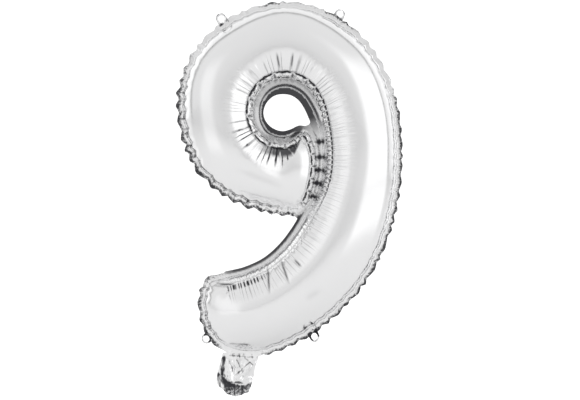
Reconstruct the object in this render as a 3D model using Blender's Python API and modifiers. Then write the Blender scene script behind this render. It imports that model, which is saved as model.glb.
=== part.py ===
"""Foil number balloon, digit nine, for air filling through a tail with a flat film valve.

Metres, +Z up. The digit stands in the XZ plane and is read from -Y. The origin is the
centre of the whole balloon's box. Two die-cut foil panels are welded to each other along
one closed seal line, which makes a single curled tube; a flange of flat film is left
outside the seal, four eyelet tabs stand on it, and the fill tail hangs below the foot.

Outlines are worked out in a drawing frame, in millimetres: x to the right, z up.
"""

import math

import bmesh
import bpy
import numpy as np
from mathutils import Vector
from mathutils.geometry import delaunay_2d_cdt

MM = 0.001
DATUM = (-0.226, 0.503)  # centre of the balloon's box in the drawing frame

# Films and flange, millimetres ---------------------------------------------------------
FILM = 0.40  # thickness given to each foil layer (the real foil is about 0.03)
VALVE_FILM = 0.30  # thickness given to each clear valve film (the real film is about 0.05)
PLY_GAP = 0.30  # clearance between two plies that lie on each other
FLANGE = 6.0  # flat film left outside the seal line
FULLNESS = 0.88  # tube depth over tube width
CELL = 8.5  # facet size of the panels

# Seal line, (x, z): clockwise round the outside of the digit, then through the slit
# beside the curled-in end, round the hole and back out.
OUTER_SEAL = [
    (13.5, -8), (0, -9.5), (-18, -7), (-40, -1), (-60, 8), (-76, 20), (-90, 36),
    (-99, 55), (-104.5, 75), (-106.5, 95), (-104, 115), (-96.5, 135), (-84.5, 153.5),
    (-68.5, 169), (-49, 181), (-27, 189), (-3, 192), (22, 188), (45, 177.5),
    (64.5, 162.5), (80.5, 143.5), (92.5, 121.5), (100.5, 98), (104.8, 73), (106, 47),
    (105, 21), (101, -5), (94, -31), (84, -56), (70, -79.5), (52, -101),
    (31.5, -119.5), (9, -134.5), (-14.5, -145.5), (-40, -151), (-62, -146.5),
    (-77, -133), (-84, -116), (-85, -98), (-79.5, -83.5), (-65, -78.5),
    (-44, -72.5), (-23, -62.5), (-6, -47.5), (8, -29), (18, -11),
]  # fmt: skip
INNER_SEAL = [
    (27.5, 10), (32, 30), (32.5, 50), (29.5, 72), (22.5, 91), (11.5, 106.5),
    (-4, 113.2), (-19, 108.8), (-28, 96.5), (-28.7, 80), (-20, 67), (-5, 63.5),
    (8, 69.5), (14, 70), (20.5, 63), (25.5, 48), (26.3, 30), (22.3, 11), (18, -1),
]  # fmt: skip

# Die-cut edge of the hole in the digit, (x, z)
HOLE_CUT = [
    (-26.5, 87), (-24.5, 95), (-20, 101), (-14, 104.7), (-7, 105.7), (1, 104.5),
    (8, 100), (13.5, 92.5), (18, 83), (20, 77), (16, 74.2), (9, 74.6), (0, 70.5),
    (-7, 68.8), (-14, 70.3), (-20, 74), (-24.5, 79.5),
]  # fmt: skip

# Tail: its fold line and the edge of its leaves, (x, z) --------------------------------
FOLD_LEFT, FOLD_RIGHT = (-68.0, -155.0), (-30.0, -156.5)
TAIL_SIDE_L = [(-68.6, -158.5), (-71, -166), (-73, -174.5), (-74, -181), (-72.5, -187)]
TAIL_END = [(-68, -192.5), (-62, -196), (-55, -197), (-47.5, -195), (-41.5, -190.5)]
TAIL_SIDE_R = [(-38.2, -184), (-36, -175), (-34.8, -167.5), (-32.5, -160.5)]

# Tail frame: u runs along the fold line to the right, v down the tail from the fold.
FOLD_HALF_GAP = 1.30  # half of the open line at the fold
FOLD_STATIONS = (-13.0, -9.0, -4.0, 4.0, 9.0, 13.0)  # u of points on both fold edges
PANEL_FOLD_HALF = 19.0  # half length of the panels' straight edge at the fold
LEAF_FOLD_HALF = 18.6  # the same for the leaves
TAIL_LEAN = 0.14  # the tail drifts to the left by this for each unit of v
LEAF_GRID_U = (-17.0, -13.0, -8.5, -3.0, 3.0, 8.5, 13.0, 17.0)
LEAF_GRID_V = (5.5, 10.5, 15.5, 20.5, 25.5, 30.5, 35.5)
LEAF_GRID_MARGIN = 1.6  # grid points stay this far inside the leaf's edge

# Step of the foil over the valve films
CHANNEL_RISE = 0.60  # each foil ply steps out by this
CHANNEL_HALF = 13.0  # half width of the step
CHANNEL_RAMP = 4.0  # width of the slope beside it
CHANNEL_START = -9.0  # v where it begins
CHANNEL_LEAN_END = 60.0  # v beyond which it stops drifting

# Valve films in the tail frame
VALVE_HALF = 9.0  # half width
VALVE_FOLD_GAP = 1.5  # the films stop this far from the fold, on either side
TAIL_VALVE_END = 30.0  # v of the lower end in the tail
NECK_VALVE_TOP = -6.4  # v of the upper end in the neck
FLAP_AXIS = -7.0  # v of the line the flaps swing on
FLAP_ROOT = -7.4  # v of the flaps' root edge
FLAP_LENGTH = 40.0  # from the axis to the tip inside the foot
FLAP_ROOT_INSET, FLAP_TIP_INSET = 0.6, 1.0  # the flaps' half width is less by these

# Hanging tabs --------------------------------------------------------------------------
TAB_NOTCH = 2.5  # the flange is narrower by this where a tab grows out of it
TAB_HALF_GAP = 0.65  # half of the open line at a tab's fold
TAB_WIDTH = 12.0  # across the tab's root
TAB_R = 5.0  # round end of a tab
TAB_ARC_HALF = 100  # degrees of the round end on either side of its middle
TAB_ARC_STEPS = 18
EYELET_R = 2.8
EYELET_POINTS = 20
NOTCH_SIDE = 0.8  # the notch is wider than the tab by this on either side
# name, point on the seal line, direction the tab stands in, reach from the seal line
TABS = [
    ("hanging_tab_top_left", (-64.0, 172.3), (-0.45, 0.89), 14.6),
    ("hanging_tab_top_right", (45.0, 177.5), (0.44, 0.90), 15.4),
    ("hanging_tab_lower_right", (20.5, -127.5), (0.40, -0.92), 14.4),
    ("hanging_tab_lower_left", (-77.0, -133.0), (-0.72, -0.69), 14.0),
]

# Panel meshing -------------------------------------------------------------------------
FINE_STEP = 1.0  # spacing of the fine seal and hole lines
SPLINE_STEPS = 24  # points on each span of a smooth loop
SEAL_BEND_REACH = 6  # the seal's bend is read between points this far either way
SEAL_BEND_PITCH = 3.6  # point spacing times bend, on curved stretches of the seal
SEAL_PITCH_MIN = 3.4
NECK_PITCH = 4.0  # spacing on the seal where the valve passes through it
NECK_HALF, NECK_TOP = 17.5, -12.0  # extent of that stretch: |u| below, v above
# distance inside the seal, spacing along the ring, keeps clear of earlier points
RINGS = [(1.5, 7.0, False), (5.0, 7.5, False), (11.0, 8.5, False), (19.0, 10.0, True)]
HEX_PITCH_X, HEX_PITCH_Z = 11.5, 10.0  # staggered grid in the middle of the tube
HEX_RIM = 26.0  # least distance from the seal for that grid
HEX_CLEAR = 8.0  # least distance between its points and the rings

# Inflated height -----------------------------------------------------------------------
SAG_STEP = 1.25  # grid pitch of the membrane solution
SAG_MARGIN = 3  # grid cells left round the seal line
SAG_SWEEPS = 260
OVER_RELAXATION = 1.93
RIM_ZONE = 5.0  # nearer the seal than this, the sag falls linearly to zero


# Plane geometry ------------------------------------------------------------------------
def blend(start, end, knot_start, knot_end, at):
    """Linear blend of two points over a knot interval."""
    span = knot_end - knot_start
    return (knot_end - at) / span * start + (at - knot_start) / span * end


def smooth_loop(points, step):
    """A centripetal Catmull-Rom loop through the points, resampled evenly."""
    points = np.array(points, float)
    count = len(points)
    dense = []
    for i in range(count):
        a, b, c, d = (points[k % count] for k in (i - 1, i, i + 1, i + 2))
        knots = [0.0]
        for start, end in ((a, b), (b, c), (c, d)):
            knots.append(knots[-1] + math.sqrt(np.linalg.norm(end - start)))
        k0, k1, k2, k3 = knots
        for at in np.linspace(k1, k2, SPLINE_STEPS, endpoint=False):
            ab = blend(a, b, k0, k1, at)
            bc = blend(b, c, k1, k2, at)
            cd = blend(c, d, k2, k3, at)
            abc = blend(ab, bc, k0, k2, at)
            bcd = blend(bc, cd, k1, k3, at)
            dense.append(blend(abc, bcd, k1, k2, at))
    return even_loop(np.array(dense), step)


def even_loop(loop, step):
    """The closed loop resampled at equal distances close to step."""
    closed = np.vstack([loop, loop[:1]])
    pieces = np.linalg.norm(np.diff(closed, axis=0), axis=1)
    length = np.concatenate([[0], np.cumsum(pieces)])
    count = max(8, round(length[-1] / step))
    at = np.linspace(0, length[-1], count, endpoint=False)
    return np.column_stack([np.interp(at, length, closed[:, k]) for k in (0, 1)])


def outward(loop):
    """Unit normals that point away from the area inside the loop."""
    along = np.roll(loop, -1, axis=0) - np.roll(loop, 1, axis=0)
    along /= np.linalg.norm(along, axis=1)[:, None]
    following = np.roll(loop, -1, axis=0)
    area = np.sum(loop[:, 0] * following[:, 1] - following[:, 0] * loop[:, 1])
    turn = 1 if area > 0 else -1
    return np.column_stack([along[:, 1], -along[:, 0]]) * turn


def distance(points, loop):
    """Distance from each point to the closed loop."""
    edges = np.roll(loop, -1, axis=0) - loop
    best = np.full(len(points), np.inf)
    for start, edge in zip(loop, edges):
        part = np.clip(((points - start) @ edge) / max(edge @ edge, 1e-12), 0, 1)
        gap = np.linalg.norm(points - (start + part[:, None] * edge), axis=1)
        best = np.minimum(best, gap)
    return best


def inside(points, loop):
    """Whether each point lies inside the loop, by counting crossings."""
    found = np.zeros(len(points), bool)
    for (x0, z0), (x1, z1) in zip(loop, np.roll(loop, -1, axis=0)):
        if z0 == z1:
            continue
        crosses = (z0 > points[:, 1]) != (z1 > points[:, 1])
        where = x0 + (points[:, 1] - z0) / (z1 - z0) * (x1 - x0)
        found ^= crosses & (points[:, 0] < where)
    return found


def is_clear(point, others, spacing):
    return all(np.hypot(*(point - other)) >= spacing for other in others)


def thinned(points, keep_from, spacing):
    """Points at least spacing from each other and from keep_from, in order."""
    kept = list(keep_from)
    chosen = []
    for point in points:
        if is_clear(point, kept, spacing):
            kept.append(point)
            chosen.append(point)
    return np.array(chosen).reshape(-1, 2)


# Seal line and tail frame --------------------------------------------------------------
FINE_SEAL = smooth_loop(OUTER_SEAL + INNER_SEAL, FINE_STEP)
FINE_HOLE = smooth_loop(HOLE_CUT, FINE_STEP)
SEAL_OUT = outward(FINE_SEAL)
FOLD_MID = (np.array(FOLD_LEFT) + np.array(FOLD_RIGHT)) / 2
FOLD_ALONG = np.array(FOLD_RIGHT) - np.array(FOLD_LEFT)
FOLD_ALONG /= np.linalg.norm(FOLD_ALONG)
FOLD_DOWN = np.array([FOLD_ALONG[1], -FOLD_ALONG[0]])  # away from the foot


def tail_uv(points):
    """Coordinates along the fold line and down the tail."""
    offset = points - FOLD_MID
    return np.column_stack([offset @ FOLD_ALONG, offset @ FOLD_DOWN])


def tail_point(u, v):
    return FOLD_MID + u * FOLD_ALONG + v * FOLD_DOWN


def nearest_seal(spot):
    """Index of the fine seal point nearest to spot."""
    return int(np.argmin(np.linalg.norm(FINE_SEAL - spot, axis=1)))


def seal_turn(i, along):
    """+1 where the seal line runs the same way as along at point i, else -1."""
    return np.sign(along @ (FINE_SEAL[i + 3] - FINE_SEAL[i - 3]))


def tab_frame(spot):
    """The nearest seal point to spot, the seam's direction there and its outward normal."""
    i = nearest_seal(spot)
    normal = SEAL_OUT[np.arange(i - 4, i + 5) % len(SEAL_OUT)].mean(axis=0)
    normal /= np.linalg.norm(normal)
    return FINE_SEAL[i], np.array([normal[1], -normal[0]]), normal


# Panel outline and mesh points ---------------------------------------------------------
def outer_cut(spacing):
    """The panel's die-cut outer edge: the seal line moved out by the flange, with a
    straight notch under each tab and a straight edge at the tail's fold."""
    placed = []  # (place along the seal line, point)
    notches = []  # (base, direction, half width)
    for _, spot, _, _ in TABS:
        base, along, out = tab_frame(spot)
        i = nearest_seal(base)
        turn = seal_turn(i, along)
        half = TAB_WIDTH / 2 + NOTCH_SIDE
        for shift in (-half, 0.0, half):
            point = base + out * (FLANGE - TAB_NOTCH) + along * shift
            placed.append((i + turn * shift, point))
        notches.append((base, along, half + 1.0))

    i = nearest_seal(tail_point(0, -4.7))
    turn = seal_turn(i, FOLD_ALONG)
    for u in (-PANEL_FOLD_HALF, *FOLD_STATIONS, PANEL_FOLD_HALF):
        placed.append((i + turn * u, tail_point(u, -FOLD_HALF_GAP)))

    # Flange points that fold back over each other, or meet a straight edge, are left out.
    moved = FINE_SEAL + SEAL_OUT * FLANGE
    clear = distance(moved, FINE_SEAL) > FLANGE - 0.06
    free = []
    for i in range(nearest_seal(OUTER_SEAL[0]), nearest_seal(OUTER_SEAL[-1]) + 1):
        point = moved[i]
        u, v = tail_uv(point[None])[0]
        by_tab = any(
            np.linalg.norm(point - base) < 14 and abs((point - base) @ along) < half
            for base, along, half in notches
        )
        by_fold = abs(u) < PANEL_FOLD_HALF + 0.6 and v > -6.5
        if clear[i] and not by_tab and not by_fold:
            free.append((float(i), point))

    kept = [point for _, point in placed]
    for place, point in free:
        if is_clear(point, kept, spacing) or place == free[0][0]:
            kept.append(point)
            placed.append((place, point))
    placed.append(free[-1])
    placed.sort(key=lambda item: item[0])
    return np.array([point for _, point in placed])


def sparse_seal():
    """Points of the seal line, closer together at its bends and at the neck."""
    before = np.roll(SEAL_OUT, SEAL_BEND_REACH, axis=0)
    after = np.roll(SEAL_OUT, -SEAL_BEND_REACH, axis=0)
    bend = np.linalg.norm(after - before, axis=1)
    pitch = np.clip(SEAL_BEND_PITCH / np.maximum(bend, 1e-3), SEAL_PITCH_MIN, CELL)
    u, v = tail_uv(FINE_SEAL).T
    pitch[(np.abs(u) < NECK_HALF) & (v > NECK_TOP)] = NECK_PITCH
    loop, gone = [FINE_SEAL[0]], 0.0
    for i in range(1, len(FINE_SEAL) - 3):
        gone += np.linalg.norm(FINE_SEAL[i] - FINE_SEAL[i - 1])
        if gone >= pitch[i]:
            loop.append(FINE_SEAL[i])
            gone = 0.0
    return np.array(loop)


def tube_points(seal_loop):
    """Mesh points inside the seal: rings that follow it and a staggered grid between."""
    rings, taken = [], list(seal_loop)
    for rim, gap, keeps_clear in RINGS:
        moved = FINE_SEAL - SEAL_OUT * rim
        good = (distance(moved, FINE_SEAL) > rim - 0.05) & inside(moved, FINE_SEAL)
        ring = thinned(moved[good], taken if keeps_clear else [], gap)
        rings.append(ring)
        taken += list(ring)
    low, high = FINE_SEAL.min(axis=0), FINE_SEAL.max(axis=0)
    hexes = np.array([
        (x + (row % 2) * HEX_PITCH_X / 2, z)
        for row, z in enumerate(np.arange(low[1], high[1], HEX_PITCH_Z))
        for x in np.arange(low[0], high[0], HEX_PITCH_X)
    ])
    deep = inside(hexes, FINE_SEAL) & (distance(hexes, FINE_SEAL) > HEX_RIM)
    return np.vstack(rings + [thinned(hexes[deep], taken, HEX_CLEAR)])


# Heights above the seam plane ----------------------------------------------------------
class Lift:
    """Height of one panel above the seam plane: the square root of a membrane's sag,
    which gives a round section to a tube and a dome to its closed ends."""

    def __init__(self):
        margin = SAG_MARGIN * SAG_STEP
        self.low = FINE_SEAL.min(axis=0) - margin
        high = FINE_SEAL.max(axis=0) + margin
        nx, nz = (np.ceil((high - self.low) / SAG_STEP)).astype(int) + 1
        grid_x, grid_z = np.meshgrid(np.arange(nx), np.arange(nz), indexing="ij")
        spots = np.column_stack([grid_x.ravel(), grid_z.ravel()]) * SAG_STEP + self.low
        mask = inside(spots, FINE_SEAL).reshape(nx, nz)
        red = (grid_x + grid_z) % 2 == 0
        sag = np.zeros((nx, nz))
        load = 2 * SAG_STEP * SAG_STEP
        for _ in range(SAG_SWEEPS):
            for part in (red, ~red):
                around = (
                    np.roll(sag, 1, 0) + np.roll(sag, -1, 0)
                    + np.roll(sag, 1, 1) + np.roll(sag, -1, 1)
                )  # fmt: skip
                sag += OVER_RELAXATION * mask * part * (0.25 * (around + load) - sag)
        self.grid = np.maximum(sag, 0)

    def sag(self, points):
        """The membrane's sag, read from the grid by bilinear interpolation."""
        place = (points - self.low) / SAG_STEP
        cell = np.clip(np.floor(place).astype(int), 0, np.array(self.grid.shape) - 2)
        fx, fz = (place - cell).T
        ix, iz = cell.T
        grid = self.grid
        return (
            grid[ix, iz] * (1 - fx) * (1 - fz)
            + grid[ix + 1, iz] * fx * (1 - fz)
            + grid[ix, iz + 1] * (1 - fx) * fz
            + grid[ix + 1, iz + 1] * fx * fz
        )

    def height(self, points, rim, inward):
        """rim: how far inside the seal each point is; inward: the way to go further in."""
        near = rim < RIM_ZONE
        spots = points + np.where(near, RIM_ZONE - rim, 0)[:, None] * inward
        share = np.where(near, rim / RIM_ZONE, 1)
        return FULLNESS * np.sqrt(np.maximum(self.sag(spots) * share, 0))


LIFT = Lift()


def channel_height(points):
    """Step of a foil ply over the valve films, near the fold and down the tail."""
    u, v = tail_uv(points).T
    across = np.abs(u + np.clip(v, 0, CHANNEL_LEAN_END) * TAIL_LEAN)
    slope = np.clip((CHANNEL_HALF + CHANNEL_RAMP - across) / CHANNEL_RAMP, 0, 1)
    return CHANNEL_RISE * slope * (v > CHANNEL_START)


def panel_height(points):
    """Zero on the flange, the inflated lift inside the seal, and the step at the neck."""
    rim = distance(points, FINE_SEAL)
    in_tube = inside(points, FINE_SEAL) & (rim > 0.05)
    nearest = np.array([nearest_seal(point) for point in points])
    up = LIFT.height(points, rim, -SEAL_OUT[nearest])
    return np.maximum(np.where(in_tube, up, 0), channel_height(points))


# Scene ---------------------------------------------------------------------------------
for old in list(bpy.data.objects):
    bpy.data.objects.remove(old, do_unlink=True)
balloon = bpy.data.collections.new("foil_number_balloon")
bpy.context.scene.collection.children.link(balloon)


def material(name, colour, metallic, roughness, alpha=1.0):
    mat = bpy.data.materials.new(name)
    mat.use_nodes = True
    inputs = mat.node_tree.nodes["Principled BSDF"].inputs
    inputs["Base Color"].default_value = (*colour, 1)
    inputs["Metallic"].default_value = metallic
    inputs["Roughness"].default_value = roughness
    inputs["Alpha"].default_value = alpha
    return mat


SILVER = material("silver_foil", colour=(0.86, 0.86, 0.87), metallic=1.0, roughness=0.12)
CLEAR = material(
    "clear_valve_film", colour=(0.82, 0.84, 0.85), metallic=0.0, roughness=0.25, alpha=0.6
)


def lay(points, depth):
    """Drawing frame to world, metres; depth is world y in millimetres."""
    placed = np.asarray(points, float) - np.array(DATUM)
    depths = np.broadcast_to(depth, len(placed))
    return [Vector((x * MM, y * MM, z * MM)) for (x, z), y in zip(placed, depths)]


def pivot(name, at, depth=0.0):
    """An empty on a fold line."""
    empty = bpy.data.objects.new(name, None)
    empty.empty_display_size = 0.01
    empty.location = lay([at], [depth])[0]
    balloon.objects.link(empty)
    return empty


def adopt(obj, parent):
    """Hang a piece, drawn in world place, on the empty that lies on its fold line."""
    obj.parent = parent
    obj.location = obj.location - parent.location


def film_sheet(name, outline, extra, height, side, hole=None, crease=None):
    """An open foil sheet lifted towards side (-1 is -Y), thickened by Solidify.

    extra: mesh points inside the outline; crease: a loop that mesh edges follow.
    """
    points, edges = [], []
    for loop in (outline, hole, crease):
        if loop is None:
            continue
        start, count = len(points), len(loop)
        points += [Vector(map(float, point)) for point in loop]
        edges += [(start + i, start + (i + 1) % count) for i in range(count)]
    points += [Vector(map(float, point)) for point in extra]
    spots, _, faces, *_ = delaunay_2d_cdt(points, edges, [], 0, 1e-4)
    spots = np.array([tuple(spot) for spot in spots])
    middle = np.array([spots[list(face)].mean(axis=0) for face in faces])
    keep = inside(middle, outline)
    if hole is not None:
        keep &= ~inside(middle, hole)

    depth = side * (PLY_GAP / 2 + FILM / 2 + height(spots))
    bm = bmesh.new()
    verts = [bm.verts.new(place) for place in lay(spots, depth)]
    for face, wanted in zip(faces, keep):
        if not wanted:
            continue
        a, b, c = (spots[i] for i in face)
        cross = (b[0] - a[0]) * (c[1] - a[1]) - (b[1] - a[1]) * (c[0] - a[0])
        if abs(cross) < 0.02:
            continue  # three points on one straight edge
        # Seen from -Y with +X right and +Z up, a counter-clockwise face looks at -Y.
        order = list(face) if (cross > 0) == (side < 0) else list(face)[::-1]
        bm.faces.new([verts[i] for i in order])
    loose = [vert for vert in bm.verts if not vert.link_faces]
    bmesh.ops.delete(bm, geom=loose, context="VERTS")
    mesh = bpy.data.meshes.new(name)
    bm.to_mesh(mesh)
    bm.free()
    mesh.materials.append(SILVER)
    mesh.shade_smooth()

    obj = bpy.data.objects.new(name, mesh)
    balloon.objects.link(obj)
    shell = obj.modifiers.new("Solidify", "SOLIDIFY")
    shell.thickness = FILM * MM
    shell.offset = 0
    shell.use_even_offset = True
    return obj


def flat_piece(name, outline, low, high, mat, hole=None):
    """A flat outline with thickness from low to high in depth, as a filled 2D curve."""
    data = bpy.data.curves.new(name, "CURVE")
    data.dimensions = "2D"
    data.fill_mode = "BOTH"
    data.extrude = (high - low) / 2 * MM
    for ring in [outline] + ([hole] if hole is not None else []):
        spline = data.splines.new("POLY")
        spline.points.add(len(ring) - 1)
        for spot, (x, z) in zip(spline.points, np.asarray(ring) - np.array(DATUM)):
            spot.co = (x * MM, z * MM, 0, 1)
        spline.use_cyclic_u = True
    data.materials.append(mat)
    obj = bpy.data.objects.new(name, data)
    obj.rotation_euler = (math.pi / 2, 0, 0)
    obj.location = (0, (low + high) / 2 * MM, 0)
    balloon.objects.link(obj)
    return obj


# Pieces --------------------------------------------------------------------------------
def build_panels():
    """Front and back foil panels of the digit."""
    outline = outer_cut(CELL * 0.95)
    hole = even_loop(FINE_HOLE, CELL * 0.75)
    seal = sparse_seal()
    extra = tube_points(seal)
    for name, side in (("front_foil_panel", -1), ("back_foil_panel", 1)):
        film_sheet(name, outline, extra, panel_height, side, hole=hole, crease=seal)


def build_tail(fold):
    """Two leaves that go on from the panels below the fold line."""
    stations = (LEAF_FOLD_HALF, *FOLD_STATIONS[::-1], -LEAF_FOLD_HALF)
    top = [tail_point(u, FOLD_HALF_GAP) for u in stations]
    outline = np.array(top + TAIL_SIDE_L + TAIL_END + TAIL_SIDE_R)
    grid = np.array(
        [tail_point(u - TAIL_LEAN * v, v) for v in LEAF_GRID_V for u in LEAF_GRID_U]
    )
    grid = grid[inside(grid, outline) & (distance(grid, outline) > LEAF_GRID_MARGIN)]
    for name, side in (("tail_front_leaf", -1), ("tail_back_leaf", 1)):
        adopt(film_sheet(name, outline, grid, channel_height, side), fold)


def strip(start_half, start_v, end_half, end_v, lean=0.0):
    """Corners of a strip down the tail frame, from its half width and v at each end."""
    corners = [
        (start_half, start_v), (-start_half, start_v), (-end_half, end_v), (end_half, end_v)
    ]
    return [tail_point(u - lean * v, v) for u, v in corners]


def build_valve(fold):
    """Self-sealing valve: two clear films, in the tail and the neck and loose in the foot."""
    in_tail = strip(VALVE_HALF, VALVE_FOLD_GAP, VALVE_HALF, TAIL_VALVE_END, TAIL_LEAN)
    in_neck = strip(VALVE_HALF, NECK_VALVE_TOP, VALVE_HALF, -VALVE_FOLD_GAP)
    flap = strip(
        VALVE_HALF - FLAP_ROOT_INSET, FLAP_ROOT,
        VALVE_HALF - FLAP_TIP_INSET, FLAP_AXIS - FLAP_LENGTH,
    )
    near, far = PLY_GAP / 2, PLY_GAP / 2 + VALVE_FILM
    for face, low, high in (("front", -far, -near), ("back", near, far)):
        adopt(flat_piece(f"tail_valve_{face}_film", in_tail, low, high, CLEAR), fold)
        flat_piece(f"valve_neck_{face}_film", in_neck, low, high, CLEAR)
        axis = pivot(f"valve_{face}_axis", tail_point(0, FLAP_AXIS), (low + high) / 2)
        adopt(flat_piece(f"valve_{face}_film", flap, low, high, CLEAR), axis)


def build_tab(name, spot, towards, reach):
    """A hanging tab: both foil plies fused, with an eyelet."""
    base, along, out = tab_frame(spot)
    root = FLANGE - TAB_NOTCH + TAB_HALF_GAP  # the fold line, measured from the seal
    towards = np.array(towards) / np.linalg.norm(towards)
    # The round end's centre lies along the tab's own direction, at the height for its reach.
    centre = base + out * root + towards * ((reach - root - TAB_R) / (towards @ out))
    edge = base + out * (root + TAB_HALF_GAP)
    left = edge - along * (TAB_WIDTH / 2)
    right = edge + along * (TAB_WIDTH / 2)
    arc = []
    for k in range(TAB_ARC_STEPS + 1):
        angle = math.radians(-TAB_ARC_HALF + 2 * TAB_ARC_HALF * k / TAB_ARC_STEPS)
        arc.append(centre + TAB_R * (math.sin(angle) * along + math.cos(angle) * out))
    eyelet = [
        centre + EYELET_R * np.array([math.cos(angle), math.sin(angle)])
        for angle in np.linspace(0, 2 * math.pi, EYELET_POINTS, endpoint=False)
    ]
    half = PLY_GAP / 2 + FILM
    tab = flat_piece(name, [left] + arc + [right], -half, half, SILVER, eyelet)
    adopt(tab, pivot(name + "_axis", base + out * root))


build_panels()
tail_fold = pivot("tail_fold_axis", FOLD_MID)
build_tail(tail_fold)
build_valve(tail_fold)
for tab_row in TABS:
    build_tab(*tab_row)
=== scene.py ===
import math

import bpy
import numpy as np
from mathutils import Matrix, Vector
from mathutils.bvhtree import BVHTree
from mathutils.geometry import delaunay_2d_cdt


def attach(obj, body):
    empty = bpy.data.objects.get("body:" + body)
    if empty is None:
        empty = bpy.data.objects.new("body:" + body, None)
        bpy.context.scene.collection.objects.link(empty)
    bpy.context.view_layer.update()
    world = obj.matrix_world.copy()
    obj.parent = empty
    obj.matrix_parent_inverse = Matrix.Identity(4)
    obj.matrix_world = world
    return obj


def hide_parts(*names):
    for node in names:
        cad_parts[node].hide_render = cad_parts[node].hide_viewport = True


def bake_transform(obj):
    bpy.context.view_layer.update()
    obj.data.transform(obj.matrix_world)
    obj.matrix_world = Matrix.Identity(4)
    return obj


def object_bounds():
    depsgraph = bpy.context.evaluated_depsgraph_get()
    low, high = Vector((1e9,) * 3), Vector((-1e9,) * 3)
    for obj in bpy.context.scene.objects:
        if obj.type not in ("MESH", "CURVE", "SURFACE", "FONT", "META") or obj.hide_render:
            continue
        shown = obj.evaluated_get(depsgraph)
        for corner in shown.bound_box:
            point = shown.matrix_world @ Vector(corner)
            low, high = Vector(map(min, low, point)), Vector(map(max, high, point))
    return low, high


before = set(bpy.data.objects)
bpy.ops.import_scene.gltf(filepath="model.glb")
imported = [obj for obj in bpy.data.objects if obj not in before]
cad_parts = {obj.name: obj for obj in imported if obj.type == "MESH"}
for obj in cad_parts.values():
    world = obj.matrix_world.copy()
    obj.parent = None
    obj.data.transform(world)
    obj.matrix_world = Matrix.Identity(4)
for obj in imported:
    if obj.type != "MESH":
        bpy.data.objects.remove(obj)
CAD_BOX = [[float(c) for c in corner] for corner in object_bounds()]

# ------------------------------------------------------------------ what can be tuned
GROW = 17.0
FAN = (4.6, 5.2)
SOFT_OUT = 0.8
WEB_GATHER = 0.0
WRINKLE_IN = [(0, 0.10), (8, 0.10), (16, 0.10), (26, 0.05), (36, 0.02), (46, 0.0)]
WRINKLE_WEB = [(0, 0.16), (6, 0.12), (12, 0.06), (20, 0.02), (26, 0.0)]
WRINKLE_LOW = [(0, 0.25), (8, 0.25), (14, 0.22), (24, 0.08), (36, 0.0)]
WRINKLE_OUT = [(0, 0.10), (4, 0.06), (9, 0.02), (15, 0.0)]
STIFF = (0.6, 0.9, 0.35, 0.8)  # film and flange: share kept against shortening, then bending
WRINKLE_STEPS = ((0.0002, 60, 0.8, 0.05), (0.0003, 180, 0.93, 0.02))
TAIL_FOLDS = [  # from, to (u across, v down), height, width
    ((-13, 4), (-11, 22), -2.2, 4.0), ((-7, 5), (-6, 24), 1.8, 2.6), ((-2, 24), (14, 6), -2.4, 3.2),
    ((3, 6), (1, 20), 1.5, 3.0), ((9, 14), (14, 26), 1.6, 4.0), ((-16, 25), (16, 25), -1.5, 3.0),
]
TAIL_BOW = 1.5
TAIL_CURL = (27.0, 7.5, 1.15, -1)  # where it starts, radius, angle, towards the reader
TAIL_STRETCH = 1.36
TAIL_ROUND = 0.6
TAB_EYE = 3.2
TAB_SHAPES = [(-1, 1.2, 0.3), (1, 1.3, 1.0), (-1, 1.6, 2.0), (1, 1.4, 0.0)]
SILVER_TONE = (0.94, 0.94, 0.945)
FOIL_ROUGH = 0.19
FAN_BUMP = 0.00040
FAN_PITCH = 3.3
FLOOR_TONE = 0.62
FLOOR_GLOW = 0.6
CAMERA_AWAY = 1.1
# light of the tent by angle from the lens: slot round the lens, front, sides, rear
TENT = [(0, 0.70), (6, 0.71), (14, 0.76), (40, 0.79), (70, 0.81), (90, 0.84), (94, 0.55), (97, 0.22), (100, 0.42), (103, 0.92), (130, 0.95), (150, 0.88), (180, 0.8)]
BOXES = [  # kind, across, up, softness across, power
    ("add", (-62, -28), (-30, 30), 7, 0.17),
    ("add", (29, 96), (-30, 34), 6, 0.36),
    ("add", (-155, -110), (-30, 40), 9, 0.2),
    ("add", (118, 152), (-30, 40), 9, 0.15),
]
LAMPS = [("top_softbox", (0.0, -0.4, 2.2), (2.4, 2.4), 30.0)]

# by control point of the seal line: how far the beaded line is from it, the length of its
# beads, and how strong it, the radial streaks and the painted shade in their folds are
BEAD_LINE = [(39, 6), (45, 7), (46.5, 8.5), (49, 9), (50, 11.5), (51, 12.5), (57, 12.5), (58.2, 9), (59, 5), (64.5, 4.5), (65, 4.5)]
BEAD_PITCH = [(0, 13.0), (39, 5.0), (45, 4.0), (49, 4.5), (50.8, 6.0), (51.4, 12.0), (56.5, 12.0), (57.5, 6.0), (58.6, 8.0), (59.4, 13.0), (64.9, 13.0)]
RING_HOW = [(0, 0.3), (0.5, 0.0), (39, 0.0), (41, 0.15), (45, 0.25), (46.5, 0.9), (50, 1.0), (57.5, 1.0), (58.5, 0.6), (59.5, 1.0), (64.5, 0.9), (65, 0.3)]
FAN_HOW = [(0, 0.0), (39, 0.0), (39.8, 0.9), (41.5, 1.0), (43.5, 0.7), (45.5, 0.5), (47, 0.75), (49, 0.9), (50.5, 1.0), (53.5, 0.9), (54.5, 0.7), (56.5, 1.1), (58, 1.1), (58.6, 0.4), (59, 0.0), (65, 0.0)]
FAN_REACH = [(-8, 0.1), (-1, 0.3), (1, 1.0), (14, 0.8), (20, 0.35), (27, 0.0)]
FOLD_SHADE_HOW = [(0, 0), (39, 0), (40, 0.5), (42.5, 0.4), (43.5, 0.3), (46, 0.15), (49, 0.3), (50.5, 0.55), (53.5, 0.55), (54.8, 0.5), (55.3, 1.6), (57, 2.0), (58, 1.6), (58.6, 0.2), (59, 0), (65, 0)]
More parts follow.
